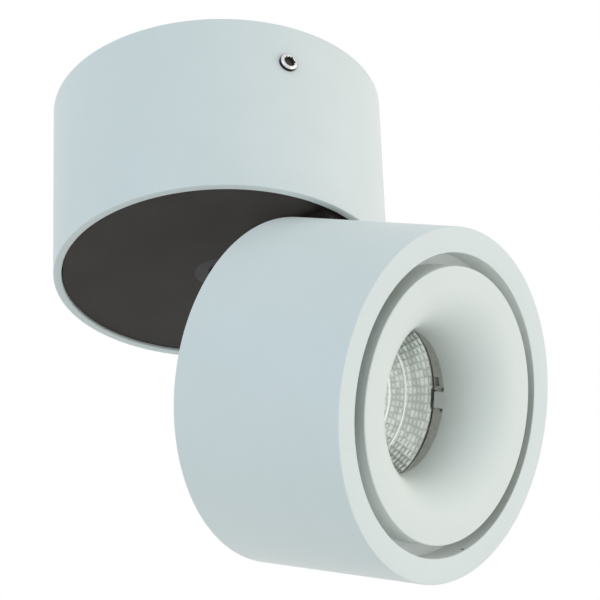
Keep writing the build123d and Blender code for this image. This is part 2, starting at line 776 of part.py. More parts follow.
# ================================================================ lamp head
with BuildPart() as head_housing:
    groove_back = skirt_end - groove_floor
    groove_rim = front_ring_inner + groove_wall
    ledge_inner = head_bore - ledge_width
    ledge_front = sink_front + ledge_thickness
    with BuildSketch(head_half_section):
        with BuildLine():
            Polyline(
                (body_radius, 0),
                (body_radius, head_length),
                (front_ring_inner, head_length),
                (front_ring_inner, skirt_end),
                (groove_floor_inner, skirt_end),
                (groove_floor_inner, groove_back),
                (groove_rim, groove_back),
                (groove_rim, head_length - front_lip),
                (head_bore, head_length - front_lip),
                (head_bore, ledge_front),
                (ledge_inner, ledge_front),
                (ledge_inner, sink_front),
                (head_bore, sink_front),
                (head_bore, 0),
                close=True,
            )
        make_face()
    revolve(axis=head_axis)
    outline_edges = head_housing.edges().filter_by(
        lambda edge: edge.geom_type == GeomType.CIRCLE and abs(edge.radius - body_radius) < edge_round
    )
    fillet(outline_edges, edge_round)
    # The rear edge opens at the hinge, so that the bracket's ears can swing through the wall
    with BuildSketch(head_rear):
        with Locations((0, (notch_inner + body_radius + head_wall) / 2)):
            Rectangle(2 * notch_half, body_radius + head_wall - notch_inner)
    extrude(amount=notch_front, mode=Mode.SUBTRACT)
    with BuildSketch(head_rear.offset(sink_front)):
        with Locations(*sink_screw_spots):
            Circle(head_screw_radius + fixed_fit)
    extrude(amount=ledge_thickness, mode=Mode.SUBTRACT)
head_housing.part.label = "head_housing"
export_step(head_housing.part, "parts/head_housing.step")

with BuildPart() as back_plate:
    with BuildSketch(head_rear.offset(back_plate_recess)):
        Circle(sink_radius)
        with Locations((0, (notch_inner + body_radius) / 2)):
            Rectangle(2 * notch_half, body_radius - notch_inner, mode=Mode.SUBTRACT)
        with Locations((0, head_grommet_y)):
            Circle(head_grommet_hole, mode=Mode.SUBTRACT)
        with Locations(*cover_screw_spots):
            Circle(head_screw_radius + fixed_fit, mode=Mode.SUBTRACT)
    extrude(amount=back_plate_thickness)
back_plate.part.label = "back_plate"
export_step(back_plate.part, "parts/back_plate.step")

back_plate_screws = socket_screws(
    [rear_seat(x, y, back_plate_recess) for x, y in cover_screw_spots],
    head_screw_radius,
    head_screw_length,
    head_screw_head_radius,
    head_screw_head_height,
)
back_plate_screws.part.label = "back_plate_screws"
export_step(back_plate_screws.part, "parts/back_plate_screws.step")

with BuildPart() as head_grommet:
    grommet_rear = back_plate_recess - grommet_flange
    with BuildSketch(head_rear.offset(back_plate_recess)):
        with Locations((0, head_grommet_y)):
            Circle(head_grommet_hole - fixed_fit)
    extrude(amount=back_plate_thickness)
    with BuildSketch(head_rear.offset(grommet_rear)):
        with Locations((0, head_grommet_y)):
            Circle(head_grommet_hole + grommet_lip)
    extrude(amount=grommet_flange)
    with BuildSketch(head_rear.offset(grommet_rear)):
        with Locations((0, head_grommet_y)):
            Circle(head_grommet_hole - grommet_wall)
    extrude(amount=grommet_flange + back_plate_thickness, mode=Mode.SUBTRACT)
head_grommet.part.label = "head_grommet"
export_step(head_grommet.part, "parts/head_grommet.step")

# ================================================================ light engine
with BuildPart() as heat_sink:
    fin_circle = sink_radius - fin_edge
    pocket_half = notch_half + fin_clearance
    with BuildSketch(head_rear.offset(sink_rear)):
        Circle(sink_radius)
    extrude(amount=sink_base)
    with BuildSketch(head_rear.offset(fin_rear)):
        with GridLocations(fin_pitch, 1, fin_count, 1):
            Rectangle(fin_thickness, 2 * body_radius)
        Circle(fin_circle, mode=Mode.INTERSECT)
        with Locations((0, knuckle_pad_end - fin_clearance + body_radius / 2)):
            Rectangle(2 * pocket_half, body_radius, mode=Mode.SUBTRACT)
        with Locations((0, head_grommet_y)):
            Circle(head_grommet_hole + fin_clearance, mode=Mode.SUBTRACT)
        with Locations(*post_spots, *sink_screw_spots):
            Circle(head_screw_head_radius + fin_clearance, mode=Mode.SUBTRACT)
        with Locations(*cover_screw_spots):
            Circle(back_plate_boss_radius + fin_clearance, mode=Mode.SUBTRACT)
    extrude(amount=sink_rear - fin_rear)
    with BuildSketch(head_rear.offset(cover_front)):
        with Locations(*cover_screw_spots):
            Circle(back_plate_boss_radius)
    extrude(amount=sink_rear - cover_front)
    with BuildSketch(head_rear.offset(cover_front)):
        with Locations(*cover_screw_spots):
            Circle(head_screw_radius + fixed_fit)
    extrude(amount=head_screw_length - back_plate_thickness, mode=Mode.SUBTRACT)
    with BuildSketch(head_rear.offset(sink_rear)):
        with Locations(*post_spots, *sink_screw_spots):
            Circle(head_screw_radius + fixed_fit)
        with Locations(*knuckle_screw_spots):
            Circle(knuckle_screw_radius + fixed_fit)
    extrude(amount=sink_base, mode=Mode.SUBTRACT)
    with BuildSketch(head_rear.offset(sink_front)):
        with Locations(*cob_screw_spots):
            Circle(cob_screw_radius + fixed_fit)
    extrude(amount=-sink_base, mode=Mode.SUBTRACT)
heat_sink.part.label = "heat_sink"
export_step(heat_sink.part, "parts/heat_sink.step")

heat_sink_screws = socket_screws(
    [rear_seat(x, y, sink_rear) for x, y in sink_screw_spots],
    head_screw_radius,
    head_screw_length,
    head_screw_head_radius,
    head_screw_head_height,
)
heat_sink_screws.part.label = "heat_sink_screws"
export_step(heat_sink_screws.part, "parts/heat_sink_screws.step")

with BuildPart() as thermal_pad:
    with BuildSketch(head_rear.offset(sink_front)):
        Rectangle(cob_size, cob_size)
    extrude(amount=pad_thickness)
thermal_pad.part.label = "thermal_pad"
export_step(thermal_pad.part, "parts/thermal_pad.step")

with BuildPart() as led_cob:
    with BuildSketch(head_rear.offset(pad_front)):
        Rectangle(cob_size, cob_size)
    extrude(amount=cob_thickness)
led_cob.part.label = "led_cob"
export_step(led_cob.part, "parts/led_cob.step")

with BuildPart() as led_phosphor:
    with BuildSketch(head_rear.offset(cob_front)):
        Circle(phosphor_radius)
    extrude(amount=phosphor_thickness)
led_phosphor.part.label = "led_phosphor"
export_step(led_phosphor.part, "parts/led_phosphor.step")

with BuildPart() as cob_holder:
    pocket_size = cob_size + 2 * fixed_fit
    with BuildSketch(head_rear.offset(sink_front)):
        Circle(holder_radius)
        with Locations(*cob_screw_spots):
            Circle(cob_screw_radius + fixed_fit, mode=Mode.SUBTRACT)
    extrude(amount=holder_thickness)
    with BuildSketch(head_rear.offset(sink_front)):
        Circle(reflector_base)
    extrude(amount=holder_thickness, mode=Mode.SUBTRACT)
    with BuildSketch(head_rear.offset(sink_front)):
        Rectangle(pocket_size, pocket_size)
    extrude(amount=holder_pocket, mode=Mode.SUBTRACT)
cob_holder.part.label = "cob_holder"
export_step(cob_holder.part, "parts/cob_holder.step")

cob_screws = socket_screws(
    [front_seat(x, y, reflector_rear) for x, y in cob_screw_spots],
    cob_screw_radius,
    cob_screw_length,
    cob_screw_head_radius,
    cob_screw_head_height,
)
cob_screws.part.label = "cob_screws"
export_step(cob_screws.part, "parts/cob_screws.step")


def reflector_radius(height):
    """Inner radius of the bright cup at a height above its base."""
    widening = (height / reflector_height) ** reflector_power
    return reflector_base + (reflector_mouth - reflector_base) * widening


row_heights = [reflector_height * row / reflector_rows for row in range(reflector_rows + 1)]
with BuildPart() as reflector:
    # The outside follows the cup's curve, and the inside is cut into flat facets, row by row
    with BuildSketch(head_half_section):
        with BuildLine():
            outside = [
                (reflector_radius(height) + reflector_wall, reflector_rear + height) for height in row_heights
            ]
            Polyline((0, reflector_rear), *outside, (0, glass_rear), close=True)
        make_face()
        with Locations((glass_radius / 2, glass_rear - reflector_flange / 2)):
            Rectangle(glass_radius, reflector_flange)
    revolve(axis=head_axis)
    for height in row_heights:
        with BuildSketch(head_rear.offset(reflector_rear + height)):
            RegularPolygon(reflector_radius(height), reflector_sides)
    loft(ruled=True, mode=Mode.SUBTRACT)
reflector.part.label = "reflector"
export_step(reflector.part, "parts/reflector.step")

with BuildPart() as glass_lens:
    with BuildSketch(head_rear.offset(glass_rear)):
        Circle(glass_radius)
    extrude(amount=glass_thickness)
glass_lens.part.label = "glass_lens"
export_step(glass_lens.part, "parts/glass_lens.step")

locking_tab_angles = [90 - (tab_angle + 360 / tab_count * i) for i in range(tab_count)]
with BuildPart() as lens_ring:
    notch_width = locking_tab_width + 2 * notch_play
    notch_cut = 2 * (ring_radius - throat_radius + ring_wall)
    with BuildSketch(head_half_section):
        with BuildLine():
            Polyline(
                (collar_radius, throat_level),
                (ring_radius, throat_level),
                (ring_radius, ring_rear),
                (ring_bore, ring_rear),
                (ring_bore, glass_front),
                (collar_radius, glass_front),
                close=True,
            )
        make_face()
    revolve(axis=head_axis)
    with BuildSketch(head_rear.offset(throat_level)):
        with PolarLocations(ring_radius, tab_count, locking_tab_angles[0]):
            Rectangle(notch_cut, notch_width)
    extrude(amount=-collar_height, mode=Mode.SUBTRACT)
    with BuildSketch(head_rear.offset(throat_level)):
        with PolarLocations(ring_radius, tab_count, locking_tab_angles[0]):
            Rectangle(notch_cut, notch_width + 2 * notch_relief)
    extrude(amount=-notch_relief_depth, mode=Mode.SUBTRACT)
    # A small detent window beside each notch, just in front of the glass
    with BuildSketch(head_rear.offset(glass_front + detent_rise)):
        with PolarLocations(ring_radius, tab_count, locking_tab_angles[0]):
            with Locations((0, detent_offset)):
                Rectangle(notch_cut, detent_width)
    extrude(amount=detent_height, mode=Mode.SUBTRACT)
lens_ring.part.label = "lens_ring"
export_step(lens_ring.part, "parts/lens_ring.step")

with BuildPart() as trim_baffle:
    baffle_rear = baffle_face - baffle_wall
    bell_depth = baffle_face - throat_level
    bell_width = bell_radius - throat_radius
    bell_centre = (bell_radius, throat_level)
    seat_inner = throat_radius + baffle_wall / 2
    with BuildSketch(head_half_section):
        with BuildLine():
            Line((baffle_radius, baffle_face), (bell_radius, baffle_face))
            EllipticalCenterArc(bell_centre, bell_width, bell_depth, start_angle=90, arc_size=90)
            Line((throat_radius, throat_level), (throat_radius + baffle_wall, throat_level))
            EllipticalCenterArc(
                bell_centre, bell_width - baffle_wall, bell_depth - baffle_wall, start_angle=90, arc_size=90
            )
            Polyline(
                (bell_radius, baffle_rear),
                (baffle_radius - baffle_wall, baffle_rear),
                (baffle_radius - baffle_wall, skirt_end),
                (baffle_radius, skirt_end),
                (baffle_radius, baffle_face),
            )
        make_face()
        # A small flange at the throat, for the grey ring to lie against
        with Locations(((seat_inner + ring_radius) / 2, throat_level + baffle_seat / 2)):
            Rectangle(ring_radius - seat_inner, baffle_seat)
    revolve(axis=head_axis)
    fillet(
        trim_baffle.edges().filter_by(GeomType.CIRCLE).sort_by(SortBy.RADIUS)[-2:].sort_by(head_axis)[-1],
        baffle_edge,
    )
    # Three tabs carry on from the bell mouth and reach into the grey ring's notches
    tab_thickness = baffle_wall + tab_reach - tab_step
    with BuildSketch(head_rear.offset(throat_level)):
        with PolarLocations(throat_radius + tab_step + tab_thickness / 2, tab_count, locking_tab_angles[0]):
            Rectangle(tab_thickness, locking_tab_width)
    extrude(amount=-(collar_height - tab_end_gap))
    with BuildSketch(head_rear.offset(sink_front)):
        with Locations(*post_spots):
            Circle(post_radius)
    extrude(amount=baffle_rear - sink_front)
    with BuildSketch(head_rear.offset(sink_front)):
        with Locations(*post_spots):
            Circle(head_screw_radius + fixed_fit)
    extrude(amount=head_screw_length, mode=Mode.SUBTRACT)
trim_baffle.part.label = "trim_baffle"
export_step(trim_baffle.part, "parts/trim_baffle.step")

baffle_screws = socket_screws(
    [rear_seat(x, y, sink_rear) for x, y in post_spots],
    head_screw_radius,
    head_screw_length,
    head_screw_head_radius,
    head_screw_head_height,
)
baffle_screws.part.label = "baffle_screws"
export_step(baffle_screws.part, "parts/baffle_screws.step")
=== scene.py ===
import json
from math import cos, degrees, pi, radians, sin, tan

import bmesh
import bpy
from mathutils import Matrix, Vector


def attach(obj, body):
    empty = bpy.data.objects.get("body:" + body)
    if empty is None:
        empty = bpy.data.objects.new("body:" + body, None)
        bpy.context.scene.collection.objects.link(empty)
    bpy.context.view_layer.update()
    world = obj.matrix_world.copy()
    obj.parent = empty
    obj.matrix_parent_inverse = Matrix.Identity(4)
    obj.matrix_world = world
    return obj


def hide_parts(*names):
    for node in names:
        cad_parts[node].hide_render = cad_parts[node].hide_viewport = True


# The looks of a folding surface spotlight. The solids come from the frame, in metres, hanging from
# a ceiling at z = 0, and the pieces that show are made again here, finer, at the same sizes.
# Shapes are in millimetres until finish_mesh scales them. Lamps and camera are in metres.

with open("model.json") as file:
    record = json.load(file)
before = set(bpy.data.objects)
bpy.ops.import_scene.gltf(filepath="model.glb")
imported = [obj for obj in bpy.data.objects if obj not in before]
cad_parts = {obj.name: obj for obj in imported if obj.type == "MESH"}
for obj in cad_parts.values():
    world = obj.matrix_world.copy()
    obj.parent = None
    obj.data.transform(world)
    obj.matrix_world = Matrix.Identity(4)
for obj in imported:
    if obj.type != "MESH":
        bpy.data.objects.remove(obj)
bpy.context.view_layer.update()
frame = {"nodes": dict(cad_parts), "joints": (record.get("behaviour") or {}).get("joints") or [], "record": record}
MM = 0.001

# ---------------------------------------------------------------- sizes
BODY_RADIUS = 50.0
CANOPY_HEIGHT = 58.0
CANOPY_WALL = 2.5
FLOOR_BOTTOM = -53.0
FLOOR_TOP = -50.5
HEAD_LENGTH = 57.6
HEAD_WALL = 2.5
FOLD_ANGLE = 67.0
CLOSED_GAP = 1.0
SWIVEL_HUB_BORE = 7.55
EDGE_ROUND = 0.4            # the outline's edges
FRONT_ROUND = 0.35          # the baffle's front edge
SOFT_ROUND = 0.3            # inner edges, from the broadest round to the crispest
FINE_ROUND = 0.2
CRISP_ROUND = 0.1
SEGMENTS = 256
SCREW_SEGMENTS = 64
PAST = 5.0                  # how far cutters reach past what they cut
ON_AXIS = 1e-6              # a point this near the axis lies on it


# ---------------------------------------------------------------- places
def joint_place(name):
    """A joint's position in millimetres."""
    joint = next(j for j in frame["joints"] if j["name"] == name)
    return Vector(joint["pos_m"]) / MM


hinge = joint_place("head_fold")
forward = Vector((0, -sin(radians(FOLD_ANGLE)), -cos(radians(FOLD_ANGLE))))
outward = Vector((0, -cos(radians(FOLD_ANGLE)), sin(radians(FOLD_ANGLE))))
hinge_y = -hinge.y
hinge_depth = -hinge.z - CANOPY_HEIGHT - CLOSED_GAP
head_origin = hinge - outward * hinge_y - forward * hinge_depth
HEAD = Matrix((
    (1, outward.x, forward.x, head_origin.x),
    (0, outward.y, forward.y, head_origin.y),
    (0, outward.z, forward.z, head_origin.z),
    (0, 0, 0, 1),
))
HERE = Matrix.Identity(4)

# Sizes of the lamp head
RING_INNER = 42.7
RING_EDGE_ROUND = 0.25
RING_LIP = 3.0
GROOVE_DEPTH = 8.0
GROOVE_WALL = 2.0
BAFFLE_RADIUS = 39.0
BAFFLE_PROUD = 0.6
BAFFLE_WALL = 2.0
BAFFLE_SEAT = 1.5
BELL_RADIUS = 34.0
BELL_STEPS = 48
THROAT_RADIUS = 20.5
THROAT_DEPTH = 16.1
COLLAR_RADIUS = 22.5
COLLAR_HEIGHT = 4.7
GLASS_RADIUS = 24.0
GLASS_THICKNESS = 2.0
LENS_RING_BORE = 24.05
LENS_RING_RADIUS = 26.05
LENS_RING_SKIRT = 2.2
LENS_RING_STEP = 0.02       # the grey ring behind the throat's face
REFLECTOR_HEIGHT = 13.2
HOLDER_THICKNESS = 2.4
LEDGE_THICKNESS = 4.0
LEDGE_BORE = 40.0
GROOVE_FLOOR = 2.0
GROOVE_FLOOR_BORE = 35.5
NOTCH_HALF = 14.1
NOTCH_FRONT = 11.3
NOTCH_INNER = 40.0

TAB_ANGLES = (23.5, 143.5, 263.5)
TAB_WIDTH = 4.7
TAB_THICKNESS = 3.1
TAB_GAP = 1.2
TAB_ROOT = 0.8              # the tab's root in the throat
TAB_STEP = 0.02             # the tab's inner face outside the throat
TAB_ROUND = 0.18
TAB_CORNER = 40.0           # degrees: edges of the tab that turn more are rounded
TAB_COLUMNS = 12
TAB_PLAY = 0.25
RELIEF = 0.8
RELIEF_DEPTH = 2.5
DETENT_OFFSET = 5.15
DETENT_WIDTH = 2.7
DETENT_RISE = 0.3
DETENT_HEIGHT = 1.5
NOTCH_PAST = 4              # the ring's cutters past its inner and outer faces

POST_ANGLES = (30, 150, 270)
POST_CIRCLE = 31.525
POST_RADIUS = 3.0
POST_BORE = 1.55
POST_BORE_DEPTH = 7.0
POST_SEGMENTS = 48

throat_level = HEAD_LENGTH - THROAT_DEPTH
glass_front = throat_level - COLLAR_HEIGHT
glass_rear = glass_front - GLASS_THICKNESS
reflector_rear = glass_rear - REFLECTOR_HEIGHT
sink_front = reflector_rear - HOLDER_THICKNESS
skirt_end = HEAD_LENGTH - GROOVE_DEPTH
baffle_face = HEAD_LENGTH + BAFFLE_PROUD

# A small dark spot on the groove's outer wall
FLECK_PLACE = Vector((28.0, -32.2, HEAD_LENGTH - 1.2))
FLECK_RADIUS = 0.5

# The reflector's shape and its facets
REFLECTOR_BASE = 7.8
REFLECTOR_MOUTH = 23.0
REFLECTOR_POWER = 0.85
REFLECTOR_SIDES = 54
REFLECTOR_ROWS = 16
REFLECTOR_FLANGE = 1.2
REFLECTOR_WALL = 1.0
FACET_STEPS = 4
FACET_BULGE = 0.12
BACK_WALL = 0.8             # the cup's outside, as a share of its wall
BEAD_LEVELS = (7.8, 4.6)
BEAD_HALF = 0.17
BEAD_RISE = 0.15
BEAD_ROOT = 0.1


# ---------------------------------------------------------------- mesh helpers
def rounded(points, steps=5):
    """A closed outline in which each (x, y, radius) corner is rounded by its radius."""
    outline = []
    count = len(points)
    for i, (x, y, radius) in enumerate(points):
        corner = Vector((x, y))
        if radius <= 0:
            outline.append(corner)
            continue
        before = (Vector(points[i - 1][:2]) - corner).normalized()
        after = (Vector(points[(i + 1) % count][:2]) - corner).normalized()
        half = before.angle(after) / 2
        reach = radius / tan(half)
        centre = corner + (before + after).normalized() * radius / sin(half)
        start = corner + before * reach - centre
        end = corner + after * reach - centre
        turn = start.angle_signed(end)
        for step in range(steps + 1):
            angle = -turn * step / steps
            outline.append(centre + Matrix.Rotation(angle, 2) @ start)
    return outline


def polar(radius, angle):
    """A point at a radius and an angle in degrees."""
    return Vector((radius * cos(radians(angle)), radius * sin(radians(angle)), 0))


def mesh_from(shape, name):
    """A mesh from a bmesh, which is freed."""
    mesh = bpy.data.meshes.new(name)
    shape.to_mesh(mesh)
    shape.free()
    return mesh


def finish_mesh(name, mesh, place, materials, body, replaced, smooth_angle=30.0):
    """Puts a millimetre mesh where it belongs and hands it to its body."""
    mesh.transform(Matrix.Scale(MM, 4) @ place)
    mesh.validate()
    for polygon in mesh.polygons:
        polygon.use_smooth = True
    if smooth_angle is not None:
        mesh.set_sharp_from_angle(angle=radians(smooth_angle))
    piece = bpy.data.objects.new(name, mesh)
    bpy.context.scene.collection.objects.link(piece)
    for material in materials:
        mesh.materials.append(material)
    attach(piece, body)
    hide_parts(*replaced)


def lathe_mesh(name, outline, segments=SEGMENTS):
    """A ring or disc turned about the local z axis from a closed (radius, height) outline."""
    shape = bmesh.new()
    rings = []
    for radius, height in outline:
        if abs(radius) < ON_AXIS:
            rings.append([shape.verts.new((0, 0, height))])
            continue
        ring = []
        for i in range(segments):
            angle = 2 * pi * i / segments
            ring.append(shape.verts.new((radius * cos(angle), radius * sin(angle), height)))
        rings.append(ring)
    for i, ring in enumerate(rings):
        following = rings[(i + 1) % len(rings)]
        if len(ring) == 1 and len(following) == 1:
            continue
        for j in range(segments):
            k = (j + 1) % segments
            if len(ring) == 1:
                shape.faces.new((ring[0], following[j], following[k]))
            elif len(following) == 1:
                shape.faces.new((ring[j], following[0], ring[k]))
            else:
                shape.faces.new((ring[j], following[j], following[k], ring[k]))
    bmesh.ops.recalc_face_normals(shape, faces=shape.faces)
    return mesh_from(shape, name)


def mark_faces(mesh, wanted, index=1):
    """Gives the faces whose middle meets a condition another of the piece's materials."""
    for polygon in mesh.polygons:
        if wanted(polygon.center):
            polygon.material_index = index


def cut(mesh, cutters):
    """Takes the cutter meshes away from a mesh, and deletes them."""
    target = bpy.data.objects.new("cut_target", mesh)
    bpy.context.scene.collection.objects.link(target)
    helpers = []
    for cutter_mesh in cutters:
        cutter = bpy.data.objects.new("cutter", cutter_mesh)
        bpy.context.scene.collection.objects.link(cutter)
        helpers.append(cutter)
        modifier = target.modifiers.new("cut", "BOOLEAN")
        modifier.operation = "DIFFERENCE"
        modifier.solver = "EXACT"
        modifier.object = cutter
    bpy.context.view_layer.update()
    graph = bpy.context.evaluated_depsgraph_get()
    result = bpy.data.meshes.new_from_object(target.evaluated_get(graph))
    for helper in [target, *helpers]:
        bpy.data.objects.remove(helper)
    result.materials.clear()
    return result


def block_mesh(low, high):
    """A box from its two corners."""
    shape = bmesh.new()
    bmesh.ops.create_cube(shape, size=1)
    for vertex in shape.verts:
        vertex.co = Vector([low[i] + (vertex.co[i] + 0.5) * (high[i] - low[i]) for i in range(3)])
    return mesh_from(shape, "block")


def cone_mesh(low_radius, high_radius, low, high, sides=48):
    """An upright cone or prism between two levels, with its corners on circles."""
    shape = bmesh.new()
    bmesh.ops.create_cone(
        shape, cap_ends=True, segments=sides,
        radius1=low_radius, radius2=high_radius, depth=high - low,
    )
    bmesh.ops.translate(shape, verts=shape.verts, vec=(0, 0, (low + high) / 2))
    return mesh_from(shape, "cone")


def joined(name, meshes):
    """Several meshes as one, each still a closed body of its own."""
    shape = bmesh.new()
    for mesh in meshes:
        shape.from_mesh(mesh)
    return mesh_from(shape, name)


def turned(mesh, angle):
    """The mesh turned about the local z axis, in degrees."""
    mesh.transform(Matrix.Rotation(radians(angle), 4, "Z"))
    return mesh


# ---------------------------------------------------------------- materials
NOISE_LOW = 0.3             # where a noise texture's values mostly begin and end
NOISE_HIGH = 0.7
PEEL_GRAIN = 1100.0         # orange peel of the paint, per metre
PEEL_DEPTH = 0.00002
MARK_DEPTH = 0.000004       # tool marks in bare metal
MARK_SPREAD = 0.25          # how far they change its roughness
FACET_CHANCE = 0.25         # how far chance shifts a facet's colour, either way
WHITE = (1, 1, 1, 1)
FLECK_COLOUR = (0.05, 0.045, 0.04, 1)


def new_material(name):
    """A material with its nodes, its links and its shader."""
    material = bpy.data.materials.new(name)
    material.use_nodes = True
    nodes = material.node_tree.nodes
    return material, nodes, material.node_tree.links, nodes["Principled BSDF"]


def object_coordinates(nodes, links, stretch=(1, 1, 1)):
    """The object's own coordinates, stretched along each axis."""
    coordinates = nodes.new("ShaderNodeTexCoord")
    mapping = nodes.new("ShaderNodeMapping")
    mapping.inputs["Scale"].default_value = stretch
    links.new(coordinates.outputs["Object"], mapping.inputs["Vector"])
    return mapping.outputs["Vector"]


def noise(nodes, links, vector, scale, detail=3.0, roughness=0.5):
    """The values of a noise texture."""
    texture = nodes.new("ShaderNodeTexNoise")
    texture.inputs["Scale"].default_value = scale
    texture.inputs["Detail"].default_value = detail
    texture.inputs["Roughness"].default_value = roughness
    links.new(vector, texture.inputs["Vector"])
    return texture.outputs["Fac"]


def ramp(nodes, links, factor, stops):
    """A colour ramp from two (position, colour) stops."""
    node = nodes.new("ShaderNodeValToRGB")
    for element, (position, colour) in zip(node.color_ramp.elements, stops):
        element.position = position
        element.color = (*colour, 1)
    links.new(factor, node.inputs["Fac"])
    return node.outputs["Color"]


def spread(nodes, links, factor, low, high):
    """Maps a noise texture's usual range onto low to high."""
    node = nodes.new("ShaderNodeMapRange")
    node.inputs["From Min"].default_value = NOISE_LOW
    node.inputs["From Max"].default_value = NOISE_HIGH
    node.inputs["To Min"].default_value = low
    node.inputs["To Max"].default_value = high
    links.new(factor, node.inputs["Value"])
    return node.outputs["Result"]


def noise_stops(low, high):
    """Colour stops over a noise texture's usual range."""
    return [(NOISE_LOW, low), (NOISE_HIGH, high)]


def bump(nodes, links, height, distance):
    """Normals bumped by a height of up to a distance in metres."""
    node = nodes.new("ShaderNodeBump")
    node.inputs["Distance"].default_value = distance
    node.inputs["Strength"].default_value = 1.0
    links.new(height, node.inputs["Height"])
    return node.outputs["Normal"]


def shade(colour, factor):
    """A colour made darker or lighter."""
    return tuple(min(1.0, c * factor) for c in colour)


def coated(name, colour, roughness, grain=PEEL_GRAIN, depth=PEEL_DEPTH, mottle=0.012):
    """Paint or moulded plastic: a fine orange peel, and a very faint mottle in the colour."""
    material, nodes, links, shader = new_material(name)
    vector = object_coordinates(nodes, links)
    wide = noise(nodes, links, vector, 60.0, detail=4.0)
    fine = noise(nodes, links, vector, grain, detail=2.0)
    stops = noise_stops(shade(colour, 1 - mottle), shade(colour, 1 + mottle))
    links.new(ramp(nodes, links, wide, stops), shader.inputs["Base Color"])
    low, high = roughness * 0.93, roughness * 1.07
    links.new(spread(nodes, links, wide, low, high), shader.inputs["Roughness"])
    links.new(bump(nodes, links, fine, depth), shader.inputs["Normal"])
    return material


def metal(name, colour, roughness, grain=(400.0, 400.0, 4000.0), metallic=1.0):
    """Bare metal with fine tool marks along one direction."""
    material, nodes, links, shader = new_material(name)
    vector = object_coordinates(nodes, links, grain)
    marks = noise(nodes, links, vector, 1.0, detail=4.0, roughness=0.6)
    stops = noise_stops(shade(colour, 0.9), shade(colour, 1.06))
    links.new(ramp(nodes, links, marks, stops), shader.inputs["Base Color"])
    low, high = roughness * (1 - MARK_SPREAD), roughness * (1 + MARK_SPREAD)
    links.new(spread(nodes, links, marks, low, high), shader.inputs["Roughness"])
    links.new(bump(nodes, links, marks, MARK_DEPTH), shader.inputs["Normal"])
    shader.inputs["Metallic"].default_value = metallic
    return material


def calculate(nodes, links, operation, first, second=None, third=None):
    """A sum, product or the like of numbers and sockets."""
    node = nodes.new("ShaderNodeMath")
    node.operation = operation
    for socket, value in zip(node.inputs, (first, second, third)):
        if isinstance(value, (int, float)):
            socket.default_value = value
        elif value is not None:
            links.new(value, socket)
    return node.outputs["Value"]


def head_coordinates(nodes, links):
    """A point in the lamp head's own axes, in metres, and a node with its X, Y and Z."""
    coordinates = nodes.new("ShaderNodeTexCoord")
    mapping = nodes.new("ShaderNodeMapping")
    mapping.vector_type = "TEXTURE"
    mapping.inputs["Location"].default_value = head_origin * MM
    mapping.inputs["Rotation"].default_value = HEAD.to_euler()
    links.new(coordinates.outputs["Object"], mapping.inputs["Vector"])
    parts = nodes.new("ShaderNodeSeparateXYZ")
    links.new(mapping.outputs["Vector"], parts.inputs["Vector"])
    return mapping.outputs["Vector"], parts


def facet_numbers(nodes, links):
    """How far round the cup a point lies and how high, each counted in facets."""
    _, parts = head_coordinates(nodes, links)
    turn = calculate(nodes, links, "ARCTAN2", parts.outputs["Y"], parts.outputs["X"])
    around = calculate(nodes, links, "MULTIPLY", turn, REFLECTOR_SIDES / (2 * pi))
    rise = calculate(nodes, links, "SUBTRACT", parts.outputs["Z"], reflector_rear * MM)
    level = calculate(nodes, links, "MULTIPLY", rise, REFLECTOR_ROWS / (REFLECTOR_HEIGHT * MM))
    return around, level


def faceted(name, middle, border_shade, roughness):
    """Bright metallised plastic, with painted shade that darkens each facet towards its borders, and facets not
    all alike.
    """
    material, nodes, links, shader = new_material(name)
    numbers = facet_numbers(nodes, links)
    edges, counts = [], nodes.new("ShaderNodeCombineXYZ")
    for number, socket in zip(numbers, counts.inputs):
        part = calculate(nodes, links, "FRACT", number)
        off = calculate(nodes, links, "ABSOLUTE", calculate(nodes, links, "SUBTRACT", part, 0.5))
        edges.append(calculate(nodes, links, "MULTIPLY", off, 2.0))
        links.new(calculate(nodes, links, "FLOOR", number), socket)
    # Painted shade: darker towards each facet's border
    edge = calculate(nodes, links, "MAXIMUM", *edges)
    chance = nodes.new("ShaderNodeTexWhiteNoise")
    links.new(counts.outputs["Vector"], chance.inputs["Vector"])
    luck = chance.outputs["Value"]
    shift = calculate(nodes, links, "MULTIPLY_ADD", luck, 2 * FACET_CHANCE, -FACET_CHANCE)
    shifted = calculate(nodes, links, "ADD", edge, shift)
    colour = ramp(nodes, links, shifted, [(0.35, middle), (1.0, border_shade)])
    links.new(colour, shader.inputs["Base Color"])
    low, high = roughness * 0.8, roughness * 1.3
    links.new(spread(nodes, links, luck, low, high), shader.inputs["Roughness"])
    shader.inputs["Metallic"].default_value = 1.0
    return material


def shaded_groove_paint(name, thin, full, roughness):
    """The groove's paint with painted shade: darker at its sides, near full white at top and bottom, and with one
    dark fleck.
    """
    material, nodes, links, shader = new_material(name)
    point, parts = head_coordinates(nodes, links)
    away = nodes.new("ShaderNodeVectorMath")
    away.operation = "DISTANCE"
    links.new(point, away.inputs[0])
    away.inputs[1].default_value = FLECK_PLACE * MM
    fleck = calculate(nodes, links, "LESS_THAN", away.outputs["Value"], FLECK_RADIUS * MM)
    height = calculate(nodes, links, "ABSOLUTE", parts.outputs["Y"])
    share = calculate(nodes, links, "MULTIPLY", height, 1 / (RING_INNER * MM))
    mixer = nodes.new("ShaderNodeMix")
    mixer.data_type = "RGBA"
    # A Mix node's sockets go by number, because those of its other types share their names
    coat, dark, mixed = mixer.inputs[6], mixer.inputs[7], mixer.outputs[2]
    links.new(fleck, mixer.inputs[0])
    links.new(ramp(nodes, links, share, [(0.45, thin), (0.95, full)]), coat)
    dark.default_value = FLECK_COLOUR
    links.new(mixed, shader.inputs["Base Color"])
    fine = noise(nodes, links, object_coordinates(nodes, links), PEEL_GRAIN, detail=2.0)
    links.new(bump(nodes, links, fine, PEEL_DEPTH), shader.inputs["Normal"])
    shader.inputs["Roughness"].default_value = roughness
    return material


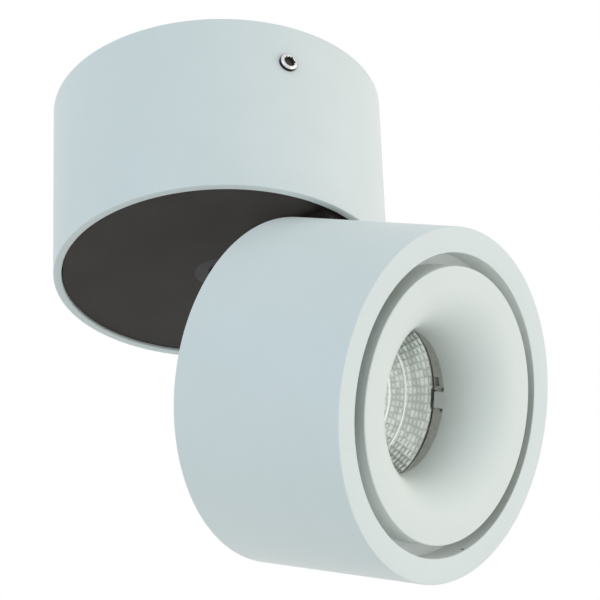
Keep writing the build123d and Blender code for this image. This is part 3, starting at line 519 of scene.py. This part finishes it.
def clear_glass(name):
    """Clear float glass with a trace of green and faint smears in its polish."""
    material, nodes, links, shader = new_material(name)
    vector = object_coordinates(nodes, links)
    smear = noise(nodes, links, vector, 120.0)
    links.new(spread(nodes, links, smear, 0.0, 0.03), shader.inputs["Roughness"])
    stops = noise_stops((0.97, 0.99, 0.98), (0.99, 1.0, 0.995))
    links.new(ramp(nodes, links, smear, stops), shader.inputs["Base Color"])
    shader.inputs["IOR"].default_value = 1.45
    shader.inputs["Transmission Weight"].default_value = 1.0
    return material


def phosphor(name):
    """The LED's yellow silicone, with its grain of phosphor."""
    material, nodes, links, shader = new_material(name)
    vector = object_coordinates(nodes, links)
    grain = noise(nodes, links, vector, 2500.0, detail=2.0)
    stops = noise_stops((0.80, 0.55, 0.06), (0.92, 0.70, 0.14))
    links.new(ramp(nodes, links, grain, stops), shader.inputs["Base Color"])
    shader.inputs["Roughness"].default_value = 0.35
    shader.inputs["Subsurface Weight"].default_value = 0.2
    shader.inputs["Subsurface Scale"].default_value = 0.001
    return material


white_paint = coated("white_powder_coat", (0.80, 0.835, 0.835), 0.42)
baffle_white = coated("baffle_white", (0.83, 0.855, 0.83), 0.5, grain=1500.0, depth=0.00001)
black_paint = coated(
    "black_paint", (0.0205, 0.0165, 0.0125), 0.55, grain=1600.0, depth=0.00003, mottle=0.08
)
black_paint.node_tree.nodes["Principled BSDF"].inputs["Specular IOR Level"].default_value = 0.3
black_rubber = coated("black_rubber", (0.02, 0.02, 0.02), 0.75, grain=2200.0, mottle=0.1)
white_plastic = coated("white_plastic", (0.82, 0.82, 0.80), 0.35)
grey_pad = coated("grey_pad", (0.32, 0.33, 0.35), 0.8)
nylon = coated("nylon", (0.82, 0.80, 0.74), 0.45)
bright_steel = metal("bright_steel", (0.72, 0.72, 0.71), 0.18)
plated_steel = metal("plated_steel", (0.60, 0.61, 0.62), 0.3)
galvanised = metal("galvanised", (0.55, 0.57, 0.58), 0.42, grain=(150.0, 150.0, 150.0))
black_steel_and_shade = metal("black_steel_and_shade", (0.05, 0.05, 0.05), 0.4)
brass = metal("brass", (0.72, 0.52, 0.22), 0.3)
aluminium = metal("aluminium", (0.68, 0.69, 0.70), 0.38)
ring_grey = metal("ring_grey", (0.78, 0.79, 0.745), 0.42, grain=(900.0, 900.0, 900.0), metallic=0.2)
reflector_silver = faceted("reflector_silver", (0.73, 0.76, 0.73), (0.49, 0.52, 0.49), 0.24)
bead_silver = metal("bead_silver", (0.97, 0.98, 0.98), 0.1)
# Painted shade for the groove's walls, darker at the sides
groove_shade_paint = shaded_groove_paint("groove_painted_shade", (0.58, 0.60, 0.575), (0.84, 0.86, 0.84), 0.5)
rim_silver = coated("rim_silver", (0.62, 0.64, 0.61), 0.4)
# Painted shade inside the side screws' sockets
socket_painted_shade = coated("socket_painted_shade", (0.035, 0.03, 0.024), 0.5)
glass = clear_glass("clear_glass")
led_yellow = phosphor("led_phosphor")

FINISH = {
    "white_paint": white_paint,
    "baffle_white": baffle_white,
    "black_paint": black_paint,
    "bright_steel": bright_steel,
    "plated_steel": plated_steel,
    "black_screws": black_steel_and_shade,
    "galvanised_plate": galvanised,
    "black_rubber": black_rubber,
    "terminal_plastic": white_plastic,
    "brass": brass,
    "driver_plastic": white_plastic,
    "nylon": nylon,
    "cast_aluminium": aluminium,
    "sink_aluminium": aluminium,
    "pad_grey": grey_pad,
    "led_ceramic": white_plastic,
    "phosphor_yellow": led_yellow,
    "holder_white": white_plastic,
    "reflector_silver": reflector_silver,
    "clear_glass": glass,
    "ring_grey": ring_grey,
}
slot_of_node = {part["node"]: part["material_slot"] for part in frame["record"]["subparts"]}
for node, solid in frame["nodes"].items():
    solid.data.materials.clear()
    solid.data.materials.append(FINISH[slot_of_node[node]])


# ---------------------------------------------------------------- canopy
SIDE_SCREW_ANGLES = (-121.5, -1.5, 118.5)
SIDE_SCREW_DROP = 13.15
SIDE_HEAD_RADIUS = 2.75
SIDE_HEAD_HEIGHT = 1.6
# The third head lies flush, because the photograph shows none at the canopy's left edge
SIDE_HEAD_PROUD = (1.3, 1.3, 0.0)
SIDE_SOCKET_RADIUS = 1.7
SIDE_SOCKET_DEPTH = 1.1
SIDE_SHANK_RADIUS = 1.5
SIDE_SHANK_LENGTH = 7.0
SIDE_SHANK_ROOT = 0.2       # the shank into its head
SIDE_SHANK_TIP = 0.3        # the bevel at its end
SIDE_DOME_FOOT = 1.15       # where the head's domed top begins
SIDE_DOME_INSET = 0.55
SIDE_DOME_FOOT_ROUND = 0.3
SIDE_DOME_TOP_ROUND = 0.25
SIDE_SEAT_ROUND = 0.08
SIDE_MOUTH_IN = 0.3         # the cone that bevels the socket's mouth, within its corners
SIDE_MOUTH_OUT = 0.5        # and outside them
SIDE_MOUTH_HALF = 0.4       # half its height
RECESS_PLAY = 0.12          # round a head, in the canopy's wall
RECESS_BEVEL = 0.08         # depth of the recess's bevelled mouth
RECESS_FLARE = 2.2
RECESS_ABOVE = 2.0          # the cutter over the wall's face
SHANK_PLAY = 0.05


def radial_place(angle, radius):
    """Local z along a radius of the canopy at the side screws' height."""
    out = polar(1, angle)
    up = Vector((0, 0, 1))
    across = up.cross(out)
    centre = out * radius + up * -SIDE_SCREW_DROP
    return Matrix((
        (across.x, up.x, out.x, centre.x),
        (across.y, up.y, out.y, centre.y),
        (across.z, up.z, out.z, centre.z),
        (0, 0, 0, 1),
    ))


def make_canopy():
    """The white cylinder with its inner floor and the recesses of its side screws."""
    bore = BODY_RADIUS - CANOPY_WALL
    outline = rounded([
        (BODY_RADIUS, 0, FINE_ROUND),
        (BODY_RADIUS, -CANOPY_HEIGHT, EDGE_ROUND),
        (bore, -CANOPY_HEIGHT, EDGE_ROUND),
        (bore, FLOOR_BOTTOM, SOFT_ROUND),
        (SWIVEL_HUB_BORE, FLOOR_BOTTOM, CRISP_ROUND),
        (SWIVEL_HUB_BORE, FLOOR_TOP, CRISP_ROUND),
        (bore, FLOOR_TOP, 2 * EDGE_ROUND),
        (bore, 0, FINE_ROUND),
    ])
    mesh = lathe_mesh("canopy", outline)
    cutters = []
    head_bore, shank_bore = SIDE_HEAD_RADIUS + RECESS_PLAY, SIDE_SHANK_RADIUS + SHANK_PLAY
    for angle, proud in zip(SIDE_SCREW_ANGLES, SIDE_HEAD_PROUD):
        seat = proud - SIDE_HEAD_HEIGHT
        cutter = lathe_mesh("recess", [
            (0, RECESS_ABOVE),
            (SIDE_HEAD_RADIUS + RECESS_FLARE, RECESS_ABOVE),
            (head_bore, -RECESS_BEVEL),
            (head_bore, seat),
            (shank_bore, seat),
            (shank_bore, -PAST),
            (0, -PAST),
        ], SCREW_SEGMENTS)
        cutter.transform(radial_place(angle, BODY_RADIUS))
        cutters.append(cutter)
    mesh = cut(mesh, cutters)
    finish_mesh("canopy_cover", mesh, HERE, (white_paint,), "canopy", ["canopy_shell"])


def make_side_screw(angle, proud):
    """A socket screw with a low domed head: turned, with its hexagon cut out."""
    top, rim = SIDE_HEAD_HEIGHT, SIDE_SOCKET_RADIUS
    head = rounded([
        (0, 0, 0),
        (SIDE_HEAD_RADIUS, 0, SIDE_SEAT_ROUND),
        (SIDE_HEAD_RADIUS, SIDE_DOME_FOOT, SIDE_DOME_FOOT_ROUND),
        (SIDE_HEAD_RADIUS - SIDE_DOME_INSET, top, SIDE_DOME_TOP_ROUND),
        (0, top, 0),
    ])
    mesh = lathe_mesh("side_screw", head, SCREW_SEGMENTS)
    socket = cone_mesh(rim, rim, top - SIDE_SOCKET_DEPTH, top + 1, sides=6)
    mouth = cone_mesh(
        rim - SIDE_MOUTH_IN, rim + SIDE_MOUTH_OUT, top - SIDE_MOUTH_HALF, top + SIDE_MOUTH_HALF
    )
    mesh = cut(mesh, [socket, mouth])
    # Painted shade: the socket's inside and the head's side are coloured dark
    mark_faces(mesh, lambda middle: middle.xy.length < rim and middle.z < top - 0.1)
    mark_faces(mesh, lambda middle: middle.xy.length > SIDE_HEAD_RADIUS - SIDE_SEAT_ROUND, 2)
    shank = lathe_mesh("shank", [
        (0, -SIDE_SHANK_LENGTH),
        (SIDE_SHANK_RADIUS - SIDE_SHANK_TIP, -SIDE_SHANK_LENGTH),
        (SIDE_SHANK_RADIUS, -SIDE_SHANK_LENGTH + SIDE_SHANK_TIP),
        (SIDE_SHANK_RADIUS, SIDE_SHANK_ROOT),
        (0, SIDE_SHANK_ROOT),
    ], SCREW_SEGMENTS // 2)
    whole = joined("side_screw", [mesh, shank])
    whole.transform(radial_place(angle, BODY_RADIUS + proud - SIDE_HEAD_HEIGHT))
    return whole


def make_side_screws():
    """The canopy's three side screws, as one piece."""
    screws = zip(SIDE_SCREW_ANGLES, SIDE_HEAD_PROUD)
    mesh = joined("side_screws", [make_side_screw(angle, proud) for angle, proud in screws])
    # Bright steel, then painted shade in the sockets and on the heads' sides
    finishes = (bright_steel, socket_painted_shade, black_steel_and_shade)
    finish_mesh("side_screws", mesh, HERE, finishes, "canopy", ["canopy_screws"])


# ---------------------------------------------------------------- head
def make_head_housing():
    """The lamp head's white cylinder, with its front ring, groove, ledge and hinge notch."""
    bore = BODY_RADIUS - HEAD_WALL
    groove_back = skirt_end - GROOVE_FLOOR
    groove_rim = RING_INNER + GROOVE_WALL
    lip = HEAD_LENGTH - RING_LIP
    ledge_front = sink_front + LEDGE_THICKNESS
    outline = rounded([
        (BODY_RADIUS, 0, EDGE_ROUND),
        (BODY_RADIUS, HEAD_LENGTH, EDGE_ROUND),
        (RING_INNER, HEAD_LENGTH, RING_EDGE_ROUND),
        (RING_INNER, skirt_end, SOFT_ROUND),
        (GROOVE_FLOOR_BORE, skirt_end, CRISP_ROUND),
        (GROOVE_FLOOR_BORE, groove_back, CRISP_ROUND),
        (groove_rim, groove_back, CRISP_ROUND),
        (groove_rim, lip, SOFT_ROUND),
        (bore, lip, SOFT_ROUND),
        (bore, ledge_front, CRISP_ROUND),
        (LEDGE_BORE, ledge_front, CRISP_ROUND),
        (LEDGE_BORE, sink_front, CRISP_ROUND),
        (bore, sink_front, CRISP_ROUND),
        (bore, 0, EDGE_ROUND),
    ])
    mesh = lathe_mesh("head_housing", outline)
    notch = block_mesh(
        (-NOTCH_HALF, NOTCH_INNER, -PAST), (NOTCH_HALF, BODY_RADIUS + PAST, NOTCH_FRONT)
    )
    mesh = cut(mesh, [notch])

    # Faces on the groove's outer wall, which get painted shade
    def in_groove_shade(middle):
        return abs(middle.xy.length - RING_INNER) < 0.2 and middle.z > skirt_end + SOFT_ROUND

    mark_faces(mesh, in_groove_shade)
    finish_mesh("head_shell", mesh, HEAD, (white_paint, groove_shade_paint), "head", ["head_housing"])


# ---------------------------------------------------------------- baffle
def quarter_ellipse(width, depth, start, end):
    """Points of the bell's curve between its front (90 degrees) and its throat (180)."""
    points = []
    for step in range(BELL_STEPS + 1):
        angle = radians(start + (end - start) * step / BELL_STEPS)
        points.append(Vector((BELL_RADIUS + width * cos(angle), throat_level + depth * sin(angle))))
    return points


def make_tab():
    """A curved tongue that carries on from the bell mouth, with slightly rounded edges."""
    half = degrees(TAB_WIDTH / 2 / THROAT_RADIUS)
    low = glass_front + TAB_GAP
    high = throat_level + TAB_ROOT
    inner = THROAT_RADIUS + TAB_STEP
    outer = inner + TAB_THICKNESS
    shape = bmesh.new()
    columns = []
    for step in range(TAB_COLUMNS + 1):
        angle = -half + 2 * half * step / TAB_COLUMNS
        columns.append([
            shape.verts.new((*polar(radius, angle).xy, level))
            for radius, level in ((inner, low), (inner, high), (outer, high), (outer, low))
        ])
    for left, right in zip(columns, columns[1:]):
        for i in range(4):
            k = (i + 1) % 4
            shape.faces.new((left[i], left[k], right[k], right[i]))
    shape.faces.new(columns[0])
    shape.faces.new(columns[-1])
    bmesh.ops.recalc_face_normals(shape, faces=shape.faces)
    sharp = [edge for edge in shape.edges if edge.calc_face_angle(0) > radians(TAB_CORNER)]
    bmesh.ops.bevel(shape, geom=sharp, offset=TAB_ROUND, segments=3, affect="EDGES")
    return mesh_from(shape, "tab")


def make_post():
    """A screw post behind the baffle, with its blind bore."""
    top = baffle_face - BAFFLE_WALL
    bore_end = sink_front + POST_BORE_DEPTH
    outline = rounded([
        (0, top, 0),
        (POST_RADIUS, top, 0),
        (POST_RADIUS, sink_front, FINE_ROUND),
        (POST_BORE, sink_front, FINE_ROUND),
        (POST_BORE, bore_end, 0),
        (0, bore_end, 0),
    ])
    return lathe_mesh("post", outline, POST_SEGMENTS)


def make_baffle():
    """The white bell-mouthed front, with its skirt, seat flange, tabs and screw posts."""
    width = BELL_RADIUS - THROAT_RADIUS
    depth = baffle_face - throat_level
    bell = quarter_ellipse(width, depth, 90, 180)
    back = quarter_ellipse(width - BAFFLE_WALL, depth - BAFFLE_WALL, 180, 90)
    seat = throat_level + BAFFLE_SEAT
    back = [point for point in back if point.y > seat]
    foot = [
        Vector((LENS_RING_RADIUS, throat_level)),
        Vector((LENS_RING_RADIUS, seat)),
        Vector((back[0].x, seat)),
    ]
    rim = rounded([
        (BAFFLE_RADIUS - BAFFLE_WALL, baffle_face - BAFFLE_WALL, SOFT_ROUND),
        (BAFFLE_RADIUS - BAFFLE_WALL, skirt_end, FINE_ROUND),
        (BAFFLE_RADIUS, skirt_end, FINE_ROUND),
        (BAFFLE_RADIUS, baffle_face, FRONT_ROUND),
        (BELL_RADIUS + 1, baffle_face, 0),
    ])
    body = lathe_mesh("baffle", bell + foot + back + rim)

    # Faces on the skirt's outside, in the groove, which get painted shade
    def in_groove_shade(middle):
        return middle.xy.length > BAFFLE_RADIUS - 0.1 and middle.z < baffle_face - 0.5

    mark_faces(body, in_groove_shade)
    tabs = [turned(make_tab(), angle) for angle in TAB_ANGLES]
    posts = []
    for angle in POST_ANGLES:
        post = make_post()
        post.transform(Matrix.Translation(polar(POST_CIRCLE, angle)))
        posts.append(post)
    mesh = joined("bell_baffle", [body, *tabs, *posts])
    finishes = (baffle_white, groove_shade_paint)
    finish_mesh("bell_baffle", mesh, HEAD, finishes, "head", ["trim_baffle"], smooth_angle=40)


# ---------------------------------------------------------------- grey ring
def notch_cutters(angle):
    """A straight notch with two rounded ears at its mouth, and a small window beside it."""
    half = TAB_WIDTH / 2 + TAB_PLAY
    inner, outer = COLLAR_RADIUS - NOTCH_PAST, LENS_RING_RADIUS + NOTCH_PAST
    ear_centre = throat_level - RELIEF_DEPTH + RELIEF
    window = glass_front + DETENT_RISE
    cutters = [
        block_mesh((inner, -half, glass_front - 0.01), (outer, half, throat_level + 1)),
        block_mesh((inner, -half - RELIEF, ear_centre), (outer, half + RELIEF, throat_level + 2)),
        block_mesh(
            (inner, DETENT_OFFSET - DETENT_WIDTH / 2, window),
            (outer, DETENT_OFFSET + DETENT_WIDTH / 2, window + DETENT_HEIGHT),
        ),
    ]
    for side in (-1, 1):
        ear = cone_mesh(RELIEF, RELIEF, inner, outer, 32)
        place = Matrix.Translation((0, side * half, ear_centre))
        ear.transform(place @ Matrix.Rotation(pi / 2, 4, "Y"))
        cutters.append(ear)
    return [turned(cutter, angle) for cutter in cutters]


def make_lens_ring():
    """The grey ring that holds the glass, with its three notches and windows."""
    ring_rear = glass_rear - LENS_RING_SKIRT
    ring_front = throat_level - LENS_RING_STEP
    outline = rounded([
        (COLLAR_RADIUS, ring_front, CRISP_ROUND),
        (LENS_RING_RADIUS, ring_front, FINE_ROUND),
        (LENS_RING_RADIUS, ring_rear, FINE_ROUND),
        (LENS_RING_BORE, ring_rear, FINE_ROUND),
        (LENS_RING_BORE, glass_front, CRISP_ROUND / 2),
        (COLLAR_RADIUS, glass_front, CRISP_ROUND),
    ], steps=3)
    mesh = lathe_mesh("lens_ring", outline)
    mesh = cut(mesh, [cutter for angle in TAB_ANGLES for cutter in notch_cutters(angle)])
    finish_mesh("locking_ring", mesh, HEAD, (ring_grey,), "head", ["lens_ring"])


# ---------------------------------------------------------------- reflector
def reflector_radius(height):
    """Radius of the cup's wall at a height above its base."""
    widening = max(0.0, height / REFLECTOR_HEIGHT) ** REFLECTOR_POWER
    return REFLECTOR_BASE + (REFLECTOR_MOUTH - REFLECTOR_BASE) * widening


def make_reflector():
    """Rows of facets, each a small cushion that stands proud of the cup, and two beads."""
    around = REFLECTOR_SIDES * FACET_STEPS
    levels = REFLECTOR_ROWS * FACET_STEPS
    shape = bmesh.new()

    def ring(radius, height):
        points = [polar(radius, 360 * s / around) for s in range(around)]
        return [shape.verts.new((*point.xy, height)) for point in points]

    rings = []
    for level in range(levels + 1):
        height = REFLECTOR_HEIGHT * level / levels
        down = (level % FACET_STEPS) / FACET_STEPS
        row = []
        for step in range(around):
            across = (step % FACET_STEPS) / FACET_STEPS
            bulge = FACET_BULGE * 16 * across * (1 - across) * down * (1 - down)
            point = polar(reflector_radius(height) - bulge, 360 * step / around)
            row.append(shape.verts.new((*point.xy, reflector_rear + height)))
        rings.append(row)
    rings.append(ring(GLASS_RADIUS, glass_rear))
    rings.append(ring(GLASS_RADIUS, glass_rear - REFLECTOR_FLANGE))
    for level in range(levels, -1, -FACET_STEPS):
        up = REFLECTOR_HEIGHT * level / levels
        height = min(up, REFLECTOR_HEIGHT - REFLECTOR_FLANGE)
        back_radius = reflector_radius(up) + REFLECTOR_WALL * BACK_WALL
        rings.append(ring(back_radius, reflector_rear + height))
    for i, row in enumerate(rings):
        following = rings[(i + 1) % len(rings)]
        for s in range(around):
            k = (s + 1) % around
            shape.faces.new((row[s], following[s], following[k], row[k]))
    for level in range(levels + 1):
        for step in range(around):
            here, beside = rings[level][step], rings[level][(step + 1) % around]
            if level % FACET_STEPS == 0:
                shape.edges.get((here, beside)).smooth = False
            if step % FACET_STEPS == 0 and level < levels:
                shape.edges.get((here, rings[level + 1][step])).smooth = False
    bmesh.ops.recalc_face_normals(shape, faces=shape.faces)
    mesh = mesh_from(shape, "reflector")
    beads = [make_bead(level) for level in BEAD_LEVELS]
    for bead in beads:
        mark_faces(bead, lambda middle: True)

    def on_rim(middle):
        return middle.xy.length > REFLECTOR_MOUTH and middle.z > glass_rear - 0.1

    mark_faces(mesh, on_rim, 2)
    whole = joined("reflector", [mesh, *beads])
    finishes = (reflector_silver, bead_silver, rim_silver)
    finish_mesh("reflector_cup", whole, HEAD, finishes, "head", ["reflector"], smooth_angle=None)


def make_bead(height):
    """A thin polished band around the cup, in line with its wall and just proud of the facets."""
    low, high = height - BEAD_HALF, height + BEAD_HALF
    mesh = lathe_mesh("bead", [
        (reflector_radius(low) + BEAD_ROOT, reflector_rear + low),
        (reflector_radius(low) - BEAD_RISE, reflector_rear + low),
        (reflector_radius(high) - BEAD_RISE, reflector_rear + high),
        (reflector_radius(high) + BEAD_ROOT, reflector_rear + high),
    ])
    for edge in mesh.edges:
        edge.use_edge_sharp = True
    return mesh


make_canopy()
make_side_screws()
make_head_housing()
make_baffle()
make_lens_ring()
make_reflector()


# ---------------------------------------------------------------- light, floor and camera
OBJECT_CENTRE = (0, -0.035, -0.08)
LAMPS = {
    "key": {"place": (0.5, -1.3, -0.2), "size": 1.6, "watts": 6.4, "colour": (1.0, 0.91, 0.86)},
    "left": {"place": (-1.4, 0.1, -0.2), "size": 1.6, "watts": 3.3, "colour": (0.36, 0.60, 1.0)},
}
WORLD_COLOUR = (0.905, 1.0, 0.975)
WORLD_STRENGTH = 0.68
FLOOR_LEVEL = -2.4          # metres
FLOOR_HALF = 9600
FLOOR_THICKNESS = 10
FLOOR_GLOW = 0.85           # how much of what is seen of the floor is plain white


def area_light(name, place, size, watts, colour):
    """A square lamp that faces the object."""
    data = bpy.data.lights.new(name, "AREA")
    data.shape = "SQUARE"
    data.size = size
    data.energy = watts
    data.color = colour
    lamp = bpy.data.objects.new(name, data)
    lamp.location = place
    towards = Vector(OBJECT_CENTRE) - Vector(place)
    lamp.rotation_euler = towards.to_track_quat("-Z", "Y").to_euler()
    bpy.context.scene.collection.objects.link(lamp)


def seen_directly(nodes, links):
    """1 for what is seen straight, in gloss or through glass, and 0 for light on rough faces."""
    path = nodes.new("ShaderNodeLightPath")
    kinds = ("Camera", "Glossy", "Transmission")
    straight, gloss, glass_ray = (path.outputs[f"Is {kind} Ray"] for kind in kinds)
    either = calculate(nodes, links, "MAXIMUM", straight, gloss)
    return calculate(nodes, links, "MAXIMUM", either, glass_ray)


def make_world():
    """An even studio: soft light on the object, and plain white where it is seen directly."""
    world = bpy.data.worlds.new("studio")
    bpy.context.scene.world = world
    world.use_nodes = True
    nodes, links = world.node_tree.nodes, world.node_tree.links
    soft = nodes["Background"]
    soft.inputs["Color"].default_value = (*WORLD_COLOUR, 1)
    soft.inputs["Strength"].default_value = WORLD_STRENGTH
    white = nodes.new("ShaderNodeBackground")
    white.inputs["Color"].default_value = WHITE
    white.inputs["Strength"].default_value = 1.0
    seen = seen_directly(nodes, links)
    chooser = nodes.new("ShaderNodeMixShader")
    links.new(seen, chooser.inputs["Fac"])
    links.new(soft.outputs["Background"], chooser.inputs[1])
    links.new(white.outputs["Background"], chooser.inputs[2])
    links.new(chooser.outputs["Shader"], nodes["World Output"].inputs["Surface"])


def pale_to_camera(material, share):
    """Shows a staging piece near white, as the world is, to the camera and in gloss and glass."""
    nodes, links = material.node_tree.nodes, material.node_tree.links
    glow = nodes.new("ShaderNodeEmission")
    glow.inputs["Color"].default_value = WHITE
    glow.inputs["Strength"].default_value = 1.0
    seen = calculate(nodes, links, "MULTIPLY", seen_directly(nodes, links), share)
    chooser = nodes.new("ShaderNodeMixShader")
    links.new(seen, chooser.inputs["Fac"])
    links.new(nodes["Principled BSDF"].outputs["BSDF"], chooser.inputs[1])
    links.new(glow.outputs["Emission"], chooser.inputs[2])
    links.new(chooser.outputs["Shader"], nodes["Material Output"].inputs["Surface"])


for lamp_name, lamp_facts in LAMPS.items():
    area_light(lamp_name, **lamp_facts)
make_world()

floor_top = FLOOR_LEVEL / MM
floor_mesh = block_mesh(
    (-FLOOR_HALF, -FLOOR_HALF, floor_top - FLOOR_THICKNESS), (FLOOR_HALF, FLOOR_HALF, floor_top)
)
floor_mesh.transform(Matrix.Scale(MM, 4))
pale_floor = coated("pale_floor", (0.9, 0.9, 0.9), 0.7, grain=40.0, depth=0.0001)
pale_to_camera(pale_floor, FLOOR_GLOW)
floor_mesh.materials.append(pale_floor)
floor = bpy.data.objects.new("floor", floor_mesh)
bpy.context.scene.collection.objects.link(floor)

# The camera's place and turn were fitted to the outlines of both cylinders in the photograph
CAMERA_PLACE = (-0.70743, -0.46382, -0.56440)
CAMERA_RIGHT = Vector((0.54189, -0.83974, -0.03449))
CAMERA_DOWN = Vector((0.40964, 0.29973, -0.86160))
FOCAL_PIXELS = 3300.6
PHOTO_PIXELS = 600
SENSOR_WIDTH = 36.0
camera_data = bpy.data.cameras.new("camera")
camera_data.sensor_width = SENSOR_WIDTH
camera_data.lens = FOCAL_PIXELS / PHOTO_PIXELS * SENSOR_WIDTH
camera = bpy.data.objects.new("camera", camera_data)
back = CAMERA_DOWN.cross(CAMERA_RIGHT).normalized()
camera.matrix_world = Matrix((
    (CAMERA_RIGHT.x, -CAMERA_DOWN.x, back.x, CAMERA_PLACE[0]),
    (CAMERA_RIGHT.y, -CAMERA_DOWN.y, back.y, CAMERA_PLACE[1]),
    (CAMERA_RIGHT.z, -CAMERA_DOWN.z, back.z, CAMERA_PLACE[2]),
    (0, 0, 0, 1),
))
bpy.context.scene.collection.objects.link(camera)
bpy.context.scene.camera = camera
bpy.context.scene.view_settings.view_transform = "Standard"
